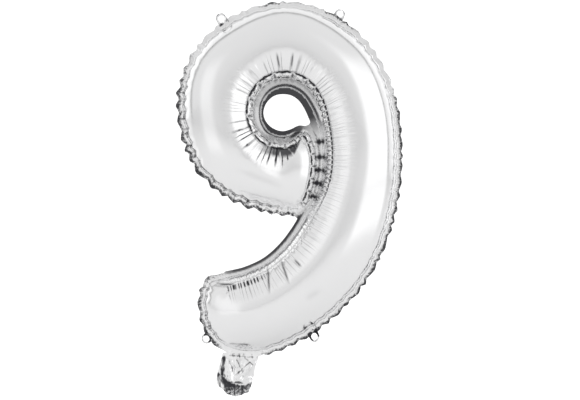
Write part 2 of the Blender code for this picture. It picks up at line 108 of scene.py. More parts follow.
FOLD_SHADE_REACH = [(-3, 0.0), (0, 0.5), (2, 0.7), (11, 0.8), (15, 0.4), (20, 0.0)]
PLY_SHADE = [(39.6, 0.2), (40.5, 0.9), (44.5, 0.95), (45.6, 0.4), (46.5, 0.06), (48.6, 0.1), (49.6, 0.93), (51, 0.93), (57.5, 0.95), (58.5, 0.85), (59.5, 0.3), (61, 0.06), (64, 0.06), (65, 0.25)]
WALL_SHADE = [(0, 0), (48.5, 0), (50, 0.32), (57.5, 0.36), (58.5, 0.2), (59, 0), (65, 0)]
# how much painted shade pools below the hole, by control point
SHADE_POOL_HOW = [(0, 0), (55.9, 0), (56.5, 0.9), (58.5, 1.0), (58.9, 0), (65, 0)]
# where painted shade ticks cross the fan above the lower concave edge, by control point
SHADE_TICK_HOW = [(0, 0), (39.6, 0), (39.8, 1.0), (41.4, 1.0), (41.9, 0), (65, 0)]
# how strong the painted dark reflection along the outer rim is, by control point
RIM_DARK_REFLECTION = [(0, 0.5), (1, 0.8), (5, 1.0), (9.5, 0.9), (10.8, 0.5), (12, 0.1), (14.8, 0.1), (15.2, 1.0), (18.4, 1.0), (19, 0.2), (21.5, 0.2), (22, 0.9), (26, 1.0), (32, 1.0), (33, 0.8), (34.5, 0.5), (36, 0.9), (37.5, 0.8), (38.5, 0.7), (40, 0.3), (46, 0), (65, 0)]
CUSHION = 1.0
# painted shade on the wall, in patches
SHADE_PATCHES = [  # centre, half size, turn, how dark
    ((6, 66.5), (9, 2.2), 38, 0.9),
]
# creases pressed into the film, each with painted shade along it
CREASES = [  # from, to, depth, half width
    ((-22.5, -64), (-20, -91), 0.5, 1.4), ((-10, -57), (-1, -81), 0.5, 1.4), ((4, -58), (11, -65), 0.4, 1.2), ((-71, -84), (-54, -83), 0.4, 1.2),
    ((-13, 143), (-10, 128), 0.35, 1.2), ((3, 143), (1, 128), 0.35, 1.2), ((-6, 12), (-52, 30), 0.7, 3.2),
    ((15, -97), (30, -88), 0.35, 2.2),
]
# painted shade along folds and crumples of the tail
TAIL_SHADES = [  # from, to (u across, v down), how dark, half width
    ((-17.0, 3), (-18.5, 20), 0.75, 2.4), ((-16, 20), (-10, 26), 0.5, 1.5), ((-7, 19), (-12, 4), 0.55, 1.0),
    ((-5, 20), (9, 6), 0.6, 1.3), ((4, 2), (13, 9), 0.4, 1.2), ((-4, 4), (0, 12), 0.5, 0.9), 
    ((-12, 0), (16, 1), 0.45, 1.4),
]
# painted shade on each tab
TAB_SHADE = [(0.75, 0.5, 2.2), (0.7, 0.5, 3.5), (0.95, 1.0, 9.0), (0.95, 1.0, 7.0)]  # how dark, from and to past the root
FLOOR_MIRRORED = 0.03
RIM_PITCH = 13.0
RIM_SIZE = (3.4, 2.6, 0.6)  # in the seam plane, across it, and of the puffs inside it
RIM_HOW = [(0, 0.4), (1.5, 0.9), (3, 1.1), (9, 1.1), (12, 0.9), (14, 0.7), (20, 0.7), (24, 0.6), (27, 0.8), (33, 0.9), (34, 0.5), (36, 0.6), (37, 1.0), (38.5, 0.9), (40, 0.2), (41, 0), (65, 0)]
RIM_FACET = [(0, 0.5), (2, 1.0), (10, 1.0), (11.5, 0.0), (35.5, 0.0), (36, 1.0), (38, 1.0), (39, 0.5), (40, 0), (65, 0)]
RIM_DEPTH = [(0, 1), (10.5, 1), (11.8, 0.45), (22, 0.4), (32.5, 0.45), (34, 0.9), (40, 1), (65, 1)]  # share of the depth across
# how crumpled the film is inside the beaded line: for its bumps and for its painted shade
CRUMPLED = [(0, 0.2), (45, 0.8), (46.5, 0.5), (49, 0.5), (50, 1), (58, 1), (58.8, 0.15), (65, 0.15)]
PLEAT, GROOVE = 0.11, 0.5  # heights of the folds round the inside of a bend
# RIM_EDGE: where the painted dark reflection at the flange's edge starts
RIM_EDGE = [(0, 2.0), (10, 2.0), (13, 3.4), (21, 3.4), (23, 2.8), (33, 2.7), (35, 2.0), (65, 2.0)]  # where the dark edge starts
# RIM_CREASE: how much painted shade lies in the folds between scallops
RIM_CREASE = [(0, 0.4), (1, 0.57), (9.5, 0.6), (11, 0.12), (14, 0.06), (33, 0.06), (34.5, 0.35), (36, 0.6), (38.5, 0.5), (40, 0.2), (46, 0.05), (65, 0.05)]  # how dark the folds between scallops are

# ---------------------------------------------------------------- the balloon's drawing
# Millimetres in the seam plane: (x, z). DATUM is the middle of the balloon's box.
DATUM = np.array([-0.226, 0.503])
FLANGE = 6.0  # flat film outside the seal line
OUTER_SEAL = [
    (13.5, -8), (0, -9.5), (-18, -7), (-40, -1), (-60, 8), (-76, 20), (-90, 36),
    (-99, 55), (-104.5, 75), (-106.5, 95), (-104, 115), (-96.5, 135), (-84.5, 153.5),
    (-68.5, 169), (-49, 181), (-27, 189), (-3, 192), (22, 188), (45, 177.5),
    (64.5, 162.5), (80.5, 143.5), (92.5, 121.5), (100.5, 98), (104.8, 73), (106, 47),
    (105, 21), (101, -5), (94, -31), (84, -56), (70, -79.5), (52, -101),
    (31.5, -119.5), (9, -134.5), (-14.5, -145.5), (-40, -151), (-62, -146.5),
    (-77, -133), (-84, -116), (-85, -98), (-79.5, -83.5), (-65, -78.5),
    (-44, -72.5), (-23, -62.5), (-6, -47.5), (8, -29), (18, -11),
]
INNER_SEAL = [
    (27.5, 10), (32, 30), (32.5, 50), (29.5, 72), (22.5, 91), (11.5, 106.5),
    (-4, 113.2), (-19, 108.8), (-28, 96.5), (-28.7, 80), (-20, 67), (-5, 63.5),
    (8, 69.5), (14, 70), (20.5, 63), (25.5, 48), (26.3, 30), (22.3, 11), (18, -1),
]
HOLE_CUT = [
    (-26.5, 87), (-24.5, 95), (-20, 101), (-14, 104.7), (-7, 105.7), (1, 104.5),
    (8, 100), (13.5, 92.5), (18, 83), (20, 77), (16, 74.2), (9, 74.6), (0, 70.5),
    (-7, 68.8), (-14, 70.3), (-20, 74), (-24.5, 79.5),
]
# How far the flat film reaches past the inflated seal line, by control point: the film
# of a tube is laid out flat, so it is wider than the tube, and the surplus length round
# the outside of each bend is what puckers.
SPREAD = [
    (0, 0), (1, 5), (2, 12), (3, 22), (4, 28), (6, 32), (10, 33), (14, 32), (18, 32),
    (22, 31), (26, 30), (30, 29), (32, 28), (34, 24), (35, 20), (36, 17), (37, 15),
    (38, 12), (39, 6), (40, 1), (41, 0), (65, 0),
]
FIRST_INNER = 40  # from this control point on the seam is on the inside of a bend


def smooth_loop(points, step):
    """Closed centripetal Catmull-Rom curve, sampled every `step`, and each sample's
    control point number."""
    p = np.array(points, float)
    n = len(p)
    dense, index = [], []
    for i in range(n):
        a, b, c, d = p[i - 1], p[i], p[(i + 1) % n], p[(i + 2) % n]
        t = [0.0]
        for q, r in ((a, b), (b, c), (c, d)):
            t.append(t[-1] + math.sqrt(np.linalg.norm(r - q)))
        for k, s in enumerate(np.linspace(t[1], t[2], 24, endpoint=False)):
            ab = (t[1] - s) / (t[1] - t[0]) * a + (s - t[0]) / (t[1] - t[0]) * b
            bc = (t[2] - s) / (t[2] - t[1]) * b + (s - t[1]) / (t[2] - t[1]) * c
            cd = (t[3] - s) / (t[3] - t[2]) * c + (s - t[2]) / (t[3] - t[2]) * d
            abc = (t[2] - s) / (t[2] - t[0]) * ab + (s - t[0]) / (t[2] - t[0]) * bc
            bcd = (t[3] - s) / (t[3] - t[1]) * bc + (s - t[1]) / (t[3] - t[1]) * cd
            dense.append((t[2] - s) / (t[2] - t[1]) * abc + (s - t[1]) / (t[2] - t[1]) * bcd)
            index.append(i + k / 24)
    dense, index = np.array(dense), np.array(index)
    closed = np.vstack([dense, dense[:1]])
    length = np.concatenate([[0], np.cumsum(np.linalg.norm(np.diff(closed, axis=0), axis=1))])
    count = max(8, round(length[-1] / step))
    at = np.linspace(0, length[-1], count, endpoint=False)
    out = np.column_stack([np.interp(at, length, closed[:, k]) for k in (0, 1)])
    return out, np.interp(at, length, np.append(index, n))


def outward(loop, reach=1):
    along = np.roll(loop, -reach, axis=0) - np.roll(loop, reach, axis=0)
    along /= np.linalg.norm(along, axis=1)[:, None]
    nxt = np.roll(loop, -1, axis=0)
    area = np.sum(loop[:, 0] * nxt[:, 1] - nxt[:, 0] * loop[:, 1])
    return np.column_stack([along[:, 1], -along[:, 0]]) * (1 if area > 0 else -1)


def inside(points, loop):
    found = np.zeros(len(points), bool)
    for (x0, z0), (x1, z1) in zip(loop, np.roll(loop, -1, axis=0)):
        if z0 == z1:
            continue
        crosses = (z0 > points[:, 1]) != (z1 > points[:, 1])
        where = x0 + (points[:, 1] - z0) / (z1 - z0) * (x1 - x0)
        found ^= crosses & (points[:, 0] < where)
    return found


def nearest(points, samples, block=4000):
    """Distance from each point to the nearest sample, and which sample it is."""
    d, k = np.empty(len(points)), np.empty(len(points), int)
    for s in range(0, len(points), block):
        q = points[s : s + block]
        m = ((q[:, None, :] - samples[None]) ** 2).sum(-1)
        k[s : s + block] = m.argmin(1)
        d[s : s + block] = np.sqrt(m.min(1))
    return d, k


def profile(at, table):
    return np.interp(at, [a for a, _ in table], [b for _, b in table])


TARGET, STATION = smooth_loop(OUTER_SEAL + INNER_SEAL, 1.0)
NORMAL = outward(TARGET, 3)
HOLE, _ = smooth_loop(HOLE_CUT, 1.0)
INNER_RUN = (STATION >= FIRST_INNER) | (STATION < 0.6)
_spread = profile(STATION, SPREAD)
for _ in range(14):
    _spread = (np.roll(_spread, 1) + _spread + np.roll(_spread, -1)) / 3
FLAT = TARGET + NORMAL * _spread[:, None]
ARC = np.concatenate([[0], np.cumsum(np.linalg.norm(np.diff(TARGET, axis=0), axis=1))])

FOLD_LEFT, FOLD_RIGHT = np.array([-68.0, -155.0]), np.array([-30.0, -156.5])
FOLD_MID = (FOLD_LEFT + FOLD_RIGHT) / 2
FOLD_ALONG = (FOLD_RIGHT - FOLD_LEFT) / np.linalg.norm(FOLD_RIGHT - FOLD_LEFT)
FOLD_DOWN = np.array([FOLD_ALONG[1], -FOLD_ALONG[0]])
TAIL_SIDE_L = [(-68.6, -158.5), (-71, -166), (-73, -174.5), (-74, -181), (-72.5, -187)]
TAIL_END = [(-68, -192.5), (-62, -196), (-55, -197), (-47.5, -195), (-41.5, -190.5)]
TAIL_SIDE_R = [(-38.2, -184), (-36, -175), (-34.8, -167.5), (-32.5, -160.5)]
TABS = [
    ("hanging_tab_top_left", (-64.0, 172.3), (-0.45, 0.89), 14.6),
    ("hanging_tab_top_right", (45.0, 177.5), (0.44, 0.90), 15.4),
    ("hanging_tab_lower_right", (20.5, -127.5), (0.40, -0.92), 14.4),
    ("hanging_tab_lower_left", (-77.0, -133.0), (-0.72, -0.69), 14.0),
]
TAB_WIDTH, TAB_R, EYELET_R, TAB_NOTCH = 12.0, 5.0, 2.8, 2.5


def tail_uv(points):
    q = np.asarray(points, float) - FOLD_MID
    return np.column_stack([q @ FOLD_ALONG, q @ FOLD_DOWN])


def tail_point(u, v):
    return FOLD_MID + np.multiply.outer(u, FOLD_ALONG) + np.multiply.outer(v, FOLD_DOWN)


def tab_frame(spot):
    i = int(np.argmin(np.linalg.norm(TARGET - np.array(spot), axis=1)))
    normal = outward(TARGET)[np.arange(i - 4, i + 5) % len(TARGET)].mean(axis=0)
    normal /= np.linalg.norm(normal)
    return TARGET[i], np.array([normal[1], -normal[0]]), normal


# ---------------------------------------------------------------------- the film's mesh
def spaced(loop, pitch):
    """Indices of the samples met each time the local pitch is used up."""
    keep, gone = [0], 0.0
    for i in range(1, len(loop)):
        gone += np.linalg.norm(loop[i] - loop[i - 1])
        if gone >= pitch[i] - 0.12:
            keep.append(i)
            gone = 0.0
    if np.linalg.norm(loop[keep[-1]] - loop[0]) < 0.6 * pitch[0]:
        keep.pop()
    return np.array(keep)


def refine(values, times=4):
    out = np.empty((len(values) * times,) + values.shape[1:])
    nxt = np.roll(values, -1, axis=0)
    for k in range(times):
        out[k::times] = values * (1 - k / times) + nxt * (k / times)
    return out


def triangulate(points, loops):
    """Constrained Delaunay mesh of the points: coordinates, triangles, source index."""
    edges, first = [], 0
    for n in loops:
        edges += [(first + i, first + (i + 1) % n) for i in range(n)]
        first += n
    got = delaunay_2d_cdt([Vector(map(float, p)) for p in points], edges, [], 0, 1e-5)
    spots = np.array([tuple(v) for v in got[0]])
    tris = np.array([f for f in got[2] if len(f) == 3])
    source = np.array([o[0] if len(o) else -1 for o in got[3]])
    a, b, c = (spots[tris[:, k]] for k in range(3))
    area = (b[:, 0] - a[:, 0]) * (c[:, 1] - a[:, 1]) - (b[:, 1] - a[:, 1]) * (c[:, 0] - a[:, 0])
    tris = tris[np.abs(area) > 1e-3]
    area = area[np.abs(area) > 1e-3]
    tris[area < 0] = tris[area < 0][:, ::-1]
    return spots, tris, source


class Film:
    """Two foil panels joined along the seal line, meshed in their flat pattern. The
    first `n` points are the front panel and the flange; `back` gives each its partner in
    the back panel, which on the seal line and the flange is itself."""


def build_film(h_in, h_out, h_mid, seed, inner_zone, outer_zone):
    rng = np.random.default_rng(seed)
    pitch = np.where(INNER_RUN, h_in, h_out)
    for _ in range(10):
        pitch = (np.roll(pitch, 1) + pitch + np.roll(pitch, -1)) / 3
    flat, target, at = refine(FLAT), refine(TARGET), np.repeat(STATION, 4)
    keep = spaced(flat, np.repeat(pitch, 4))
    seam, seam_to, seam_at = flat[keep], target[keep], at[keep]
    cut = FLAT + outward(FLAT, 3) * FLANGE
    good = (nearest(cut, FLAT)[0] > FLANGE - 0.08) & (STATION <= len(OUTER_SEAL) - 0.4)
    run = np.nonzero(good)[0]
    kept, gone = [run[0]], 0.0
    for a, b in zip(run[:-1], run[1:]):
        gone += np.linalg.norm(cut[b] - cut[a])
        if gone >= pitch[b]:
            kept.append(b)
            gone = 0.0
    edge = cut[kept]
    hole = HOLE[spaced(HOLE, np.full(len(HOLE), max(h_in, 1.5)))]
    rims = np.vstack([edge, hole])
    lo, hi = edge.min(0) - 2, edge.max(0) + 2
    extra = []
    for zone, h in enumerate((h_in, h_out, h_mid)):
        xs, zs = np.arange(lo[0], hi[0], h), np.arange(lo[1], hi[1], h * 0.866)
        gx, gz = np.meshgrid(xs, zs, indexing="ij")
        gx = gx + (np.arange(len(zs)) % 2)[None] * h * 0.5
        q = np.column_stack([gx.ravel(), gz.ravel()])
        q += rng.uniform(-0.16, 0.16, q.shape) * h
        q = q[inside(q, edge) & ~inside(q, hole)]
        d, k = nearest(q, seam)
        by_inner = (seam_at[k] >= FIRST_INNER) | (seam_at[k] < 0.6)
        in_tube = inside(q, seam)
        here = np.where(
            in_tube,
            np.where(by_inner & (d < inner_zone), 0, np.where(~by_inner & (d < outer_zone), 1, 2)),
            np.where(by_inner, 0, 1),
        )
        ok = (here == zone) & (d > 0.62 * h)
        if zone < 2:
            ok &= nearest(q, rims)[0] > 0.6 * h
        extra.append(q[ok])
    points = np.vstack([seam, edge, hole] + extra)
    spots, tris, source = triangulate(points, (len(seam), len(edge), len(hole)))
    mid = spots[tris].mean(1)
    tris = tris[inside(mid, edge) & ~inside(mid, hole)]
    used = np.zeros(len(spots), bool)
    used[tris.ravel()] = True
    tris = (np.cumsum(used) - 1)[tris]
    spots, source = spots[used], source[used]

    f = Film()
    f.flat, f.tris, f.n = spots, tris, len(spots)
    f.tube = inside(spots[tris].mean(1), seam)
    f.is_seam = (source >= 0) & (source < len(seam))
    f.seam_to = np.zeros((f.n, 2))
    f.seam_to[f.is_seam] = seam_to[source[f.is_seam]]
    in_tube = np.zeros(f.n, bool)
    in_tube[tris[f.tube].ravel()] = True
    f.shared = f.is_seam | ~in_tube
    f.inner = ~f.shared
    f.back = np.arange(f.n)
    f.back[f.inner] = f.n + np.arange(f.inner.sum())
    f.total = f.n + int(f.inner.sum())
    f.front_of = np.zeros(f.total, int)
    f.front_of[: f.n] = np.arange(f.n)
    f.front_of[f.back] = np.arange(f.n)
    f.front_tris = tris[f.tube]
    f.back_tris = f.back[tris[f.tube]][:, ::-1]
    f.flange_tris = tris[~f.tube]
    f.panels = np.vstack([f.front_tris, f.back_tris])
    return f


def edges_of(tris):
    """The edges of a mesh, and for each inner edge the two points opposite it."""
    e = np.concatenate([tris[:, [0, 1]], tris[:, [1, 2]], tris[:, [2, 0]]])
    facing = np.concatenate([tris[:, 2], tris[:, 0], tris[:, 1]])
    found, which = np.unique(np.sort(e, axis=1), axis=0, return_inverse=True)
    which = which.reshape(-1)
    order = np.argsort(which, kind="stable")
    again = np.zeros(len(order), bool)
    again[1:] = which[order][1:] == which[order][:-1]
    return found, np.column_stack([facing[order[np.nonzero(again)[0] - 1]], facing[order[again]]])


def set_springs(f, press_tube, press_flange, bend_tube, bend_flange, flat=None):
    """Film resists stretch fully, and shortening by the given shares."""
    flat = f.flat if flat is None else flat
    et, bt = edges_of(f.tris[f.tube])
    ef, bf = edges_of(f.flange_tris)
    length = lambda e: np.linalg.norm(flat[e[:, 0]] - flat[e[:, 1]], axis=1)
    groups = [
        (et, length(et), 1.0, press_tube), (f.back[et], length(et), 1.0, press_tube),
        (ef, length(ef), 1.0, press_flange),
        (bt, length(bt), 0.0, bend_tube), (f.back[bt], length(bt), 0.0, bend_tube),
        (bf, length(bf), 0.0, bend_flange),
    ]
    groups = [g for g in groups if max(g[2], g[3]) > 0]
    f.i = np.concatenate([g[0][:, 0] for g in groups])
    f.j = np.concatenate([g[0][:, 1] for g in groups])
    f.rest = np.concatenate([g[1] for g in groups])
    f.pull = np.concatenate([np.full(len(g[0]), g[2]) for g in groups])
    f.push = np.concatenate([np.full(len(g[0]), g[3]) for g in groups])
    weight = np.maximum(f.pull, f.push)
    f.mass = np.maximum(
        np.bincount(f.i, weight, f.total) + np.bincount(f.j, weight, f.total), 1e-6
    )
    f.ei = np.concatenate([et[:, 0], f.back[et[:, 0]], ef[:, 0]])
    f.ej = np.concatenate([et[:, 1], f.back[et[:, 1]], ef[:, 1]])
    f.degree = np.bincount(f.ei, minlength=f.total) + np.bincount(f.ej, minlength=f.total)
    f.soft = np.ones(f.total)


def gather(index, values, n):
    return np.column_stack([np.bincount(index, values[:, k], n) for k in range(3)])


def ironed(f, x, share):
    mean = gather(f.ei, x[f.ej], f.total) + gather(f.ej, x[f.ei], f.total)
    return x + share * (mean / f.degree[:, None] - x) * f.soft[:, None]


def relax(f, x, steps, pressure, damp, iron=0.0, hold=0.5, flatten=0.02):
    """Damped steps of the air pressure and the film's springs."""
    n, omega, gap = f.total, 0.85, 0.12
    before = x.copy()
    seam = np.nonzero(f.is_seam)[0]
    to = f.seam_to[seam]
    fi = np.nonzero(f.inner)[0]
    bi = f.back[fi]
    light = (omega / f.mass)[:, None]
    corners = f.panels.T.ravel()
    force = 0.0
    for s in range(steps):
        speed = (x - before) * damp
        before = x.copy()
        if s % 4 == 0:
            a, b, c = (x[f.panels[:, k]] for k in range(3))
            push = np.cross(b - a, c - a) / 6.0
            force = pressure * gather(corners, np.tile(push, (3, 1)), n) / f.mass[:, None]
        x = x + speed + force
        d = x[f.j] - x[f.i]
        length = np.sqrt((d * d).sum(1)) + 1e-12
        over = length - f.rest
        k = np.where(over > 0, f.pull, f.push)
        d *= (k * over / length)[:, None]
        x = x + (gather(f.i, d, n) - gather(f.j, d, n)) * light
        if iron:
            x = ironed(f, x, iron)
        x[seam, 0] += hold * (to[:, 0] - x[seam, 0])
        x[seam, 2] += hold * (to[:, 1] - x[seam, 2])
        x[seam, 1] -= flatten * x[seam, 1]
        if f.flat_spots is not None:
            x[f.flat_spots, 1] *= 0.5
        cross = x[fi, 1] - x[bi, 1] + gap
        hit = cross > 0
        x[fi[hit], 1] -= 0.5 * cross[hit]
        x[bi[hit], 1] += 0.5 * cross[hit]
    return x


Film.flat_spots = None


def first_guess(f):
    """The flat pattern drawn in to the inflated outline, and rounded up."""
    shift = TARGET - FLAT
    moved = np.empty((f.n, 2))
    for a in range(0, f.n, 3000):
        q = f.flat[a : a + 3000]
        w = 1 / (((q[:, None, :] - FLAT[None]) ** 2).sum(-1) + 1.0) ** 1.5
        moved[a : a + 3000] = q + (w @ shift) / w.sum(1)[:, None]
    moved[f.is_seam] = f.seam_to[f.is_seam]
    d = nearest(f.flat, FLAT)[0]
    high = np.sqrt(np.maximum(d * (90 - np.minimum(d, 45)), 0)) * 0.55
    x = np.zeros((f.total, 3))
    x[: f.n, 0], x[: f.n, 2] = moved[:, 0], moved[:, 1]
    back = f.back[f.inner]
    x[back, 0], x[back, 2] = moved[f.inner, 0], moved[f.inner, 1]
    x[: f.n][f.inner, 1] = -high[f.inner]
    x[back, 1] = high[f.inner]
    return x


def carried(a, xa, b):
    """Where film a's shape puts the points of film b."""
    ground = [Vector((float(p[0]), float(p[1]), 0.0)) for p in a.flat]

    def read(tris, points):
        tree = BVHTree.FromPolygons(ground, [tuple(map(int, t)) for t in tris])
        t = tris[[tree.find_nearest(Vector((float(p[0]), float(p[1]), 0.0)))[2] for p in points]]
        p0, p1, p2 = (a.flat[t[:, k]] for k in range(3))
        turn = lambda u, v: u[:, 0] * v[:, 1] - u[:, 1] * v[:, 0]
        whole = turn(p1 - p0, p2 - p0)
        w1 = turn(points - p0, p2 - p0) / whole
        w2 = turn(p1 - p0, points - p0) / whole
        w = np.clip(np.column_stack([1 - w1 - w2, w1, w2]), -0.3, 1.3)
        return t, (w / w.sum(1)[:, None])[:, :, None]

    x = np.zeros((b.total, 3))
    inner, shared = np.nonzero(b.inner)[0], np.nonzero(b.shared)[0]
    t, w = read(a.tris[a.tube], b.flat[inner])
    x[inner] = (xa[t] * w).sum(1)
    x[b.back[inner]] = (xa[a.back[t]] * w).sum(1)
    t, w = read(a.flange_tris, b.flat[shared])
    x[shared] = (xa[t] * w).sum(1)
    return x


def normals_of(x, tris):
    a, b, c = (x[tris[:, k]] for k in range(3))
    n = np.cross(b - a, c - a)
    total = sum(gather(tris[:, k], n, len(x)) for k in range(3))
    return total / np.maximum(np.linalg.norm(total, axis=1), 1e-12)[:, None]

# ------------------------------------------------------------------------- inflating it
WEB = (STATION > 58.2) | (STATION < 0.3)  # where the bowl's closed end meets the stem
WEB_STARS = [(29, 58), (29.5, 43), (28.5, 30), (27, 17), (23, 3), (19, -10)]


def phase(s, pitch, seed, jitter=0.3):
    """A wave's phase along a seam, with unequal waves."""
    rng = np.random.default_rng(seed)
    n = int(ARC[-1] / pitch)
    knots = np.sort(np.arange(n + 1) + rng.uniform(-jitter, jitter, n + 1)) * ARC[-1] / n
    return np.interp(s, knots, np.arange(n + 1) * 2 * math.pi)


def web_growth(f):
    """The flat pattern with the bowl's closed end run on past the web, as a tube's end is
    before it is inflated."""
    d, k = nearest(f.flat, FLAT[WEB])
    at = ARC[WEB][k]
    ends = np.clip(np.minimum(at - ARC[WEB].min(), ARC[WEB].max() - at) / 10, 0, 1)
    z = [-1, 11, 30, 48, 63, 70]
    ours = f.is_seam | (f.inner & (f.flat[:, 0] < np.interp(f.flat[:, 1], z, [18, 22.3, 26.3, 25.5, 20.5, 14])))
    ours &= (f.flat[:, 1] < 66) & (f.flat[:, 1] > -8)
    grow = GROW * np.clip(1 - d / 37, 0, 1) * ends * ours
    return f.flat + outward(FLAT, 3)[WEB][k] * grow[:, None]


def inflate():
    coarse = build_film(5.0, 5.0, 6.0, 1, 26.0, 22.0)
    set_springs(coarse, 0, 0, 0, 0, web_growth(coarse))
    x = relax(coarse, first_guess(coarse), 60, 0.0, 0.8, iron=0.05)
    for pressure, steps, damp in ((0.002, 300, 0.95), (0.0008, 300, 0.97), (0.0004, 300, 0.97)):
        x = relax(coarse, x, steps, pressure, damp, iron=0.002)

    f = build_film(1.35, 1.8, 2.8, 3, 48.0, 24.0)
    d_in, k_in = nearest(f.flat, FLAT[INNER_RUN])
    d_out, k_out = nearest(f.flat, FLAT[~INNER_RUN])
    f.s_in, f.s_out = ARC[INNER_RUN][k_in], ARC[~INNER_RUN][k_out]
    f.at_in = STATION[INNER_RUN][k_in]
    f.at_out = STATION[~INNER_RUN][k_out]
    f.d_in, f.d_out = d_in, d_out
    f.pattern = web_growth(f)
    set_springs(f, 0, 0, 0, 0, f.pattern)
    x = carried(coarse, x, f)
    seam = np.nonzero(f.is_seam)[0]
    for _ in range(40):
        x = ironed(f, ironed(f, x, 0.6), -0.62)
        x[seam, 0], x[seam, 1], x[seam, 2] = f.seam_to[seam, 0], 0, f.seam_to[seam, 1]
    for pressure, steps, damp, iron in ((0.0004, 110, 0.95, 0.02), (0.0003, 90, 0.95, 0.005)):
        x = relax(f, x, steps, pressure, damp, iron)
    # The flange lies flat round the seal line.
    ring = np.nonzero(f.shared & ~f.is_seam)[0]
    far, k = nearest(f.flat[ring], FLAT)
    spot = TARGET[k] + NORMAL[k] * np.minimum(far, FLANGE)[:, None]
    inner_ring = INNER_RUN[k]
    spot[inner_ring] = f.flat[ring][inner_ring]
    x[ring, 0], x[ring, 1], x[ring, 2] = spot[:, 0], 0, spot[:, 1]
    f.base = x.copy()
    return f, x


def wrinkle(f, x):
    """Let the surplus length buckle: all of it by the seams, almost none at the crest."""
    own = f.front_of
    w_in = profile(f.d_in, WRINKLE_IN)
    near_web = (f.at_in > 58.6) | (f.at_in < 0.5)
    w_in = np.where(near_web, profile(f.d_in, WRINKLE_WEB), w_in)
    low = (f.at_in > 39) & (f.at_in < 45.6)
    w_in = np.where(low, profile(f.d_in, WRINKLE_LOW), w_in)
    uv = tail_uv(x[: f.n, [0, 2]])
    calm = 1 - 0.75 * np.clip((24 - np.abs(uv[:, 0])) / 5, 0, 1) * np.clip((uv[:, 1] + 16) / 4, 0, 1)
    w_out = profile(f.d_out, WRINKLE_OUT) * calm
    share = np.maximum(w_in, w_out)
    share[f.shared & ~f.is_seam] = 0.06
    # smooth the change from one rule to the next
    set_springs(f, *STIFF, f.pattern)
    share = share[own]
    for _ in range(6):
        mean = np.bincount(f.ei, share[f.ej], f.total) + np.bincount(f.ej, share[f.ei], f.total)
        share = 0.5 * share + 0.5 * mean / f.degree
    now = np.linalg.norm(x[f.j] - x[f.i], axis=1)
    part = (share[f.i] + share[f.j]) / 2
    spare = np.clip(f.rest - now, -0.02 * now, 0.6 * now)
    f.rest = now + part * spare
    # the web between bowl and stem is gathered along its length
    tangent = np.array([-0.12, 0.0, 0.99])
    mid = (f.front_of[f.i])
    along = np.abs((x[f.j] - x[f.i]) @ tangent) / np.maximum(now, 1e-9)
    on_web = ((f.at_in[mid] > 58.8) | (f.at_in[mid] < 0.4) | ((f.at_in[mid] > 45.6) & (f.at_in[mid] < 49.4)))
    near = profile(f.d_in[mid], [(0, 1.0), (8, 0.9), (22, 0.35), (32, 0)])
    f.rest = f.rest * (1 + WEB_GATHER * near * on_web * along**2)
    f.share = share
    f.soft = np.clip(1 - share * 6, 0, 1)
    outer_zone = f.d_out[own] < f.d_in[own]
    f.soft[outer_zone] = np.maximum(f.soft[outer_zone], SOFT_OUT)
    side = np.ones(f.total)
    side[f.back[f.inner]] = -1
    wall = ~f.shared[own]
    n = normals_of(x, f.panels)
    d_in, d_out, s_in, s_out = f.d_in[own], f.d_out[own], f.s_in[own], f.s_out[own]
    at_in = f.at_in[own]
    uv = tail_uv(x[:, [0, 2]])
    f.flat_spots = np.nonzero((np.abs(uv[:, 0]) < 17) & (uv[:, 1] > -9) & f.shared[own])[0]
    # fine fans round the inside of every bend
    p1, p2 = phase(s_in, FAN[0], 11), phase(s_in, FAN[1], 12)
    x += n * (wall * 0.10 * np.exp(-(((d_in - 8) / 6.0) ** 2)) * np.sin(p1 + side * 0.7))[:, None]
    x += n * (wall * 0.10 * np.exp(-(((d_in - 20) / 9.0) ** 2)) * np.sin(p2 + side))[:, None]
    # pinches across the web
    star_d, star_k = nearest(f.base[: f.n][:, [0, 2]], np.array(WEB_STARS, float))
    pinch = np.exp(-((star_d / 4.0) ** 2))[own]
    on = (at_in > 58.8) | (at_in < 0.4) | ((at_in > 45.6) & (at_in < 49.4))
    x -= n * (wall * on * 0.5 * pinch * np.exp(-((d_in / 12.0) ** 2)))[:, None]
    for pressure, steps, damp, iron in WRINKLE_STEPS:
        x = relax(f, x, steps, pressure, damp, iron, hold=0.03, flatten=0.002)
    return x

# ------------------------------------------------------------------------- node helpers
def node(tree, kind, **given):
    made = tree.nodes.new(kind)
    for key, value in given.items():
        if key == "inputs":
            for name, v in value.items():
                made.inputs[name].default_value = v
        else:
            setattr(made, key, value)
    return made


def maths(tree, op, a, b=None, c=None, clamp=False):
    made = tree.nodes.new("ShaderNodeMath")
    made.operation, made.use_clamp = op, clamp
    for k, v in enumerate((a, b, c)):
        if v is None:
            continue
        if isinstance(v, (int, float)):
            made.inputs[k].default_value = v
        else:
            tree.links.new(v, made.inputs[k])
    return made.outputs[0]


def step_between(tree, value, low, high, to_low=0.0, to_high=1.0):
    made = tree.nodes.new("ShaderNodeMapRange")
    made.interpolation_type = "SMOOTHSTEP"
    tree.links.new(value, made.inputs["Value"])
    made.inputs["From Min"].default_value = low
    made.inputs["From Max"].default_value = high
    made.inputs["To Min"].default_value = to_low
    made.inputs["To Max"].default_value = to_high
    return made.outputs["Result"]


def curve_of(tree, value, table):
    """Piecewise linear function of a value, as a colour ramp's grey."""
    lo, hi = table[0][0], table[-1][0]
    made = tree.nodes.new("ShaderNodeValToRGB")
    made.color_ramp.interpolation = "LINEAR"
    tree.links.new(step_linear(tree, value, lo, hi), made.inputs["Fac"])
    ramp = made.color_ramp.elements
    while len(ramp) < len(table):
        ramp.new(0.5)
    for element, (at, v) in zip(ramp, table):
        element.position = (at - lo) / (hi - lo)
        element.color = (v, v, v, 1)
    return made.outputs["Color"]


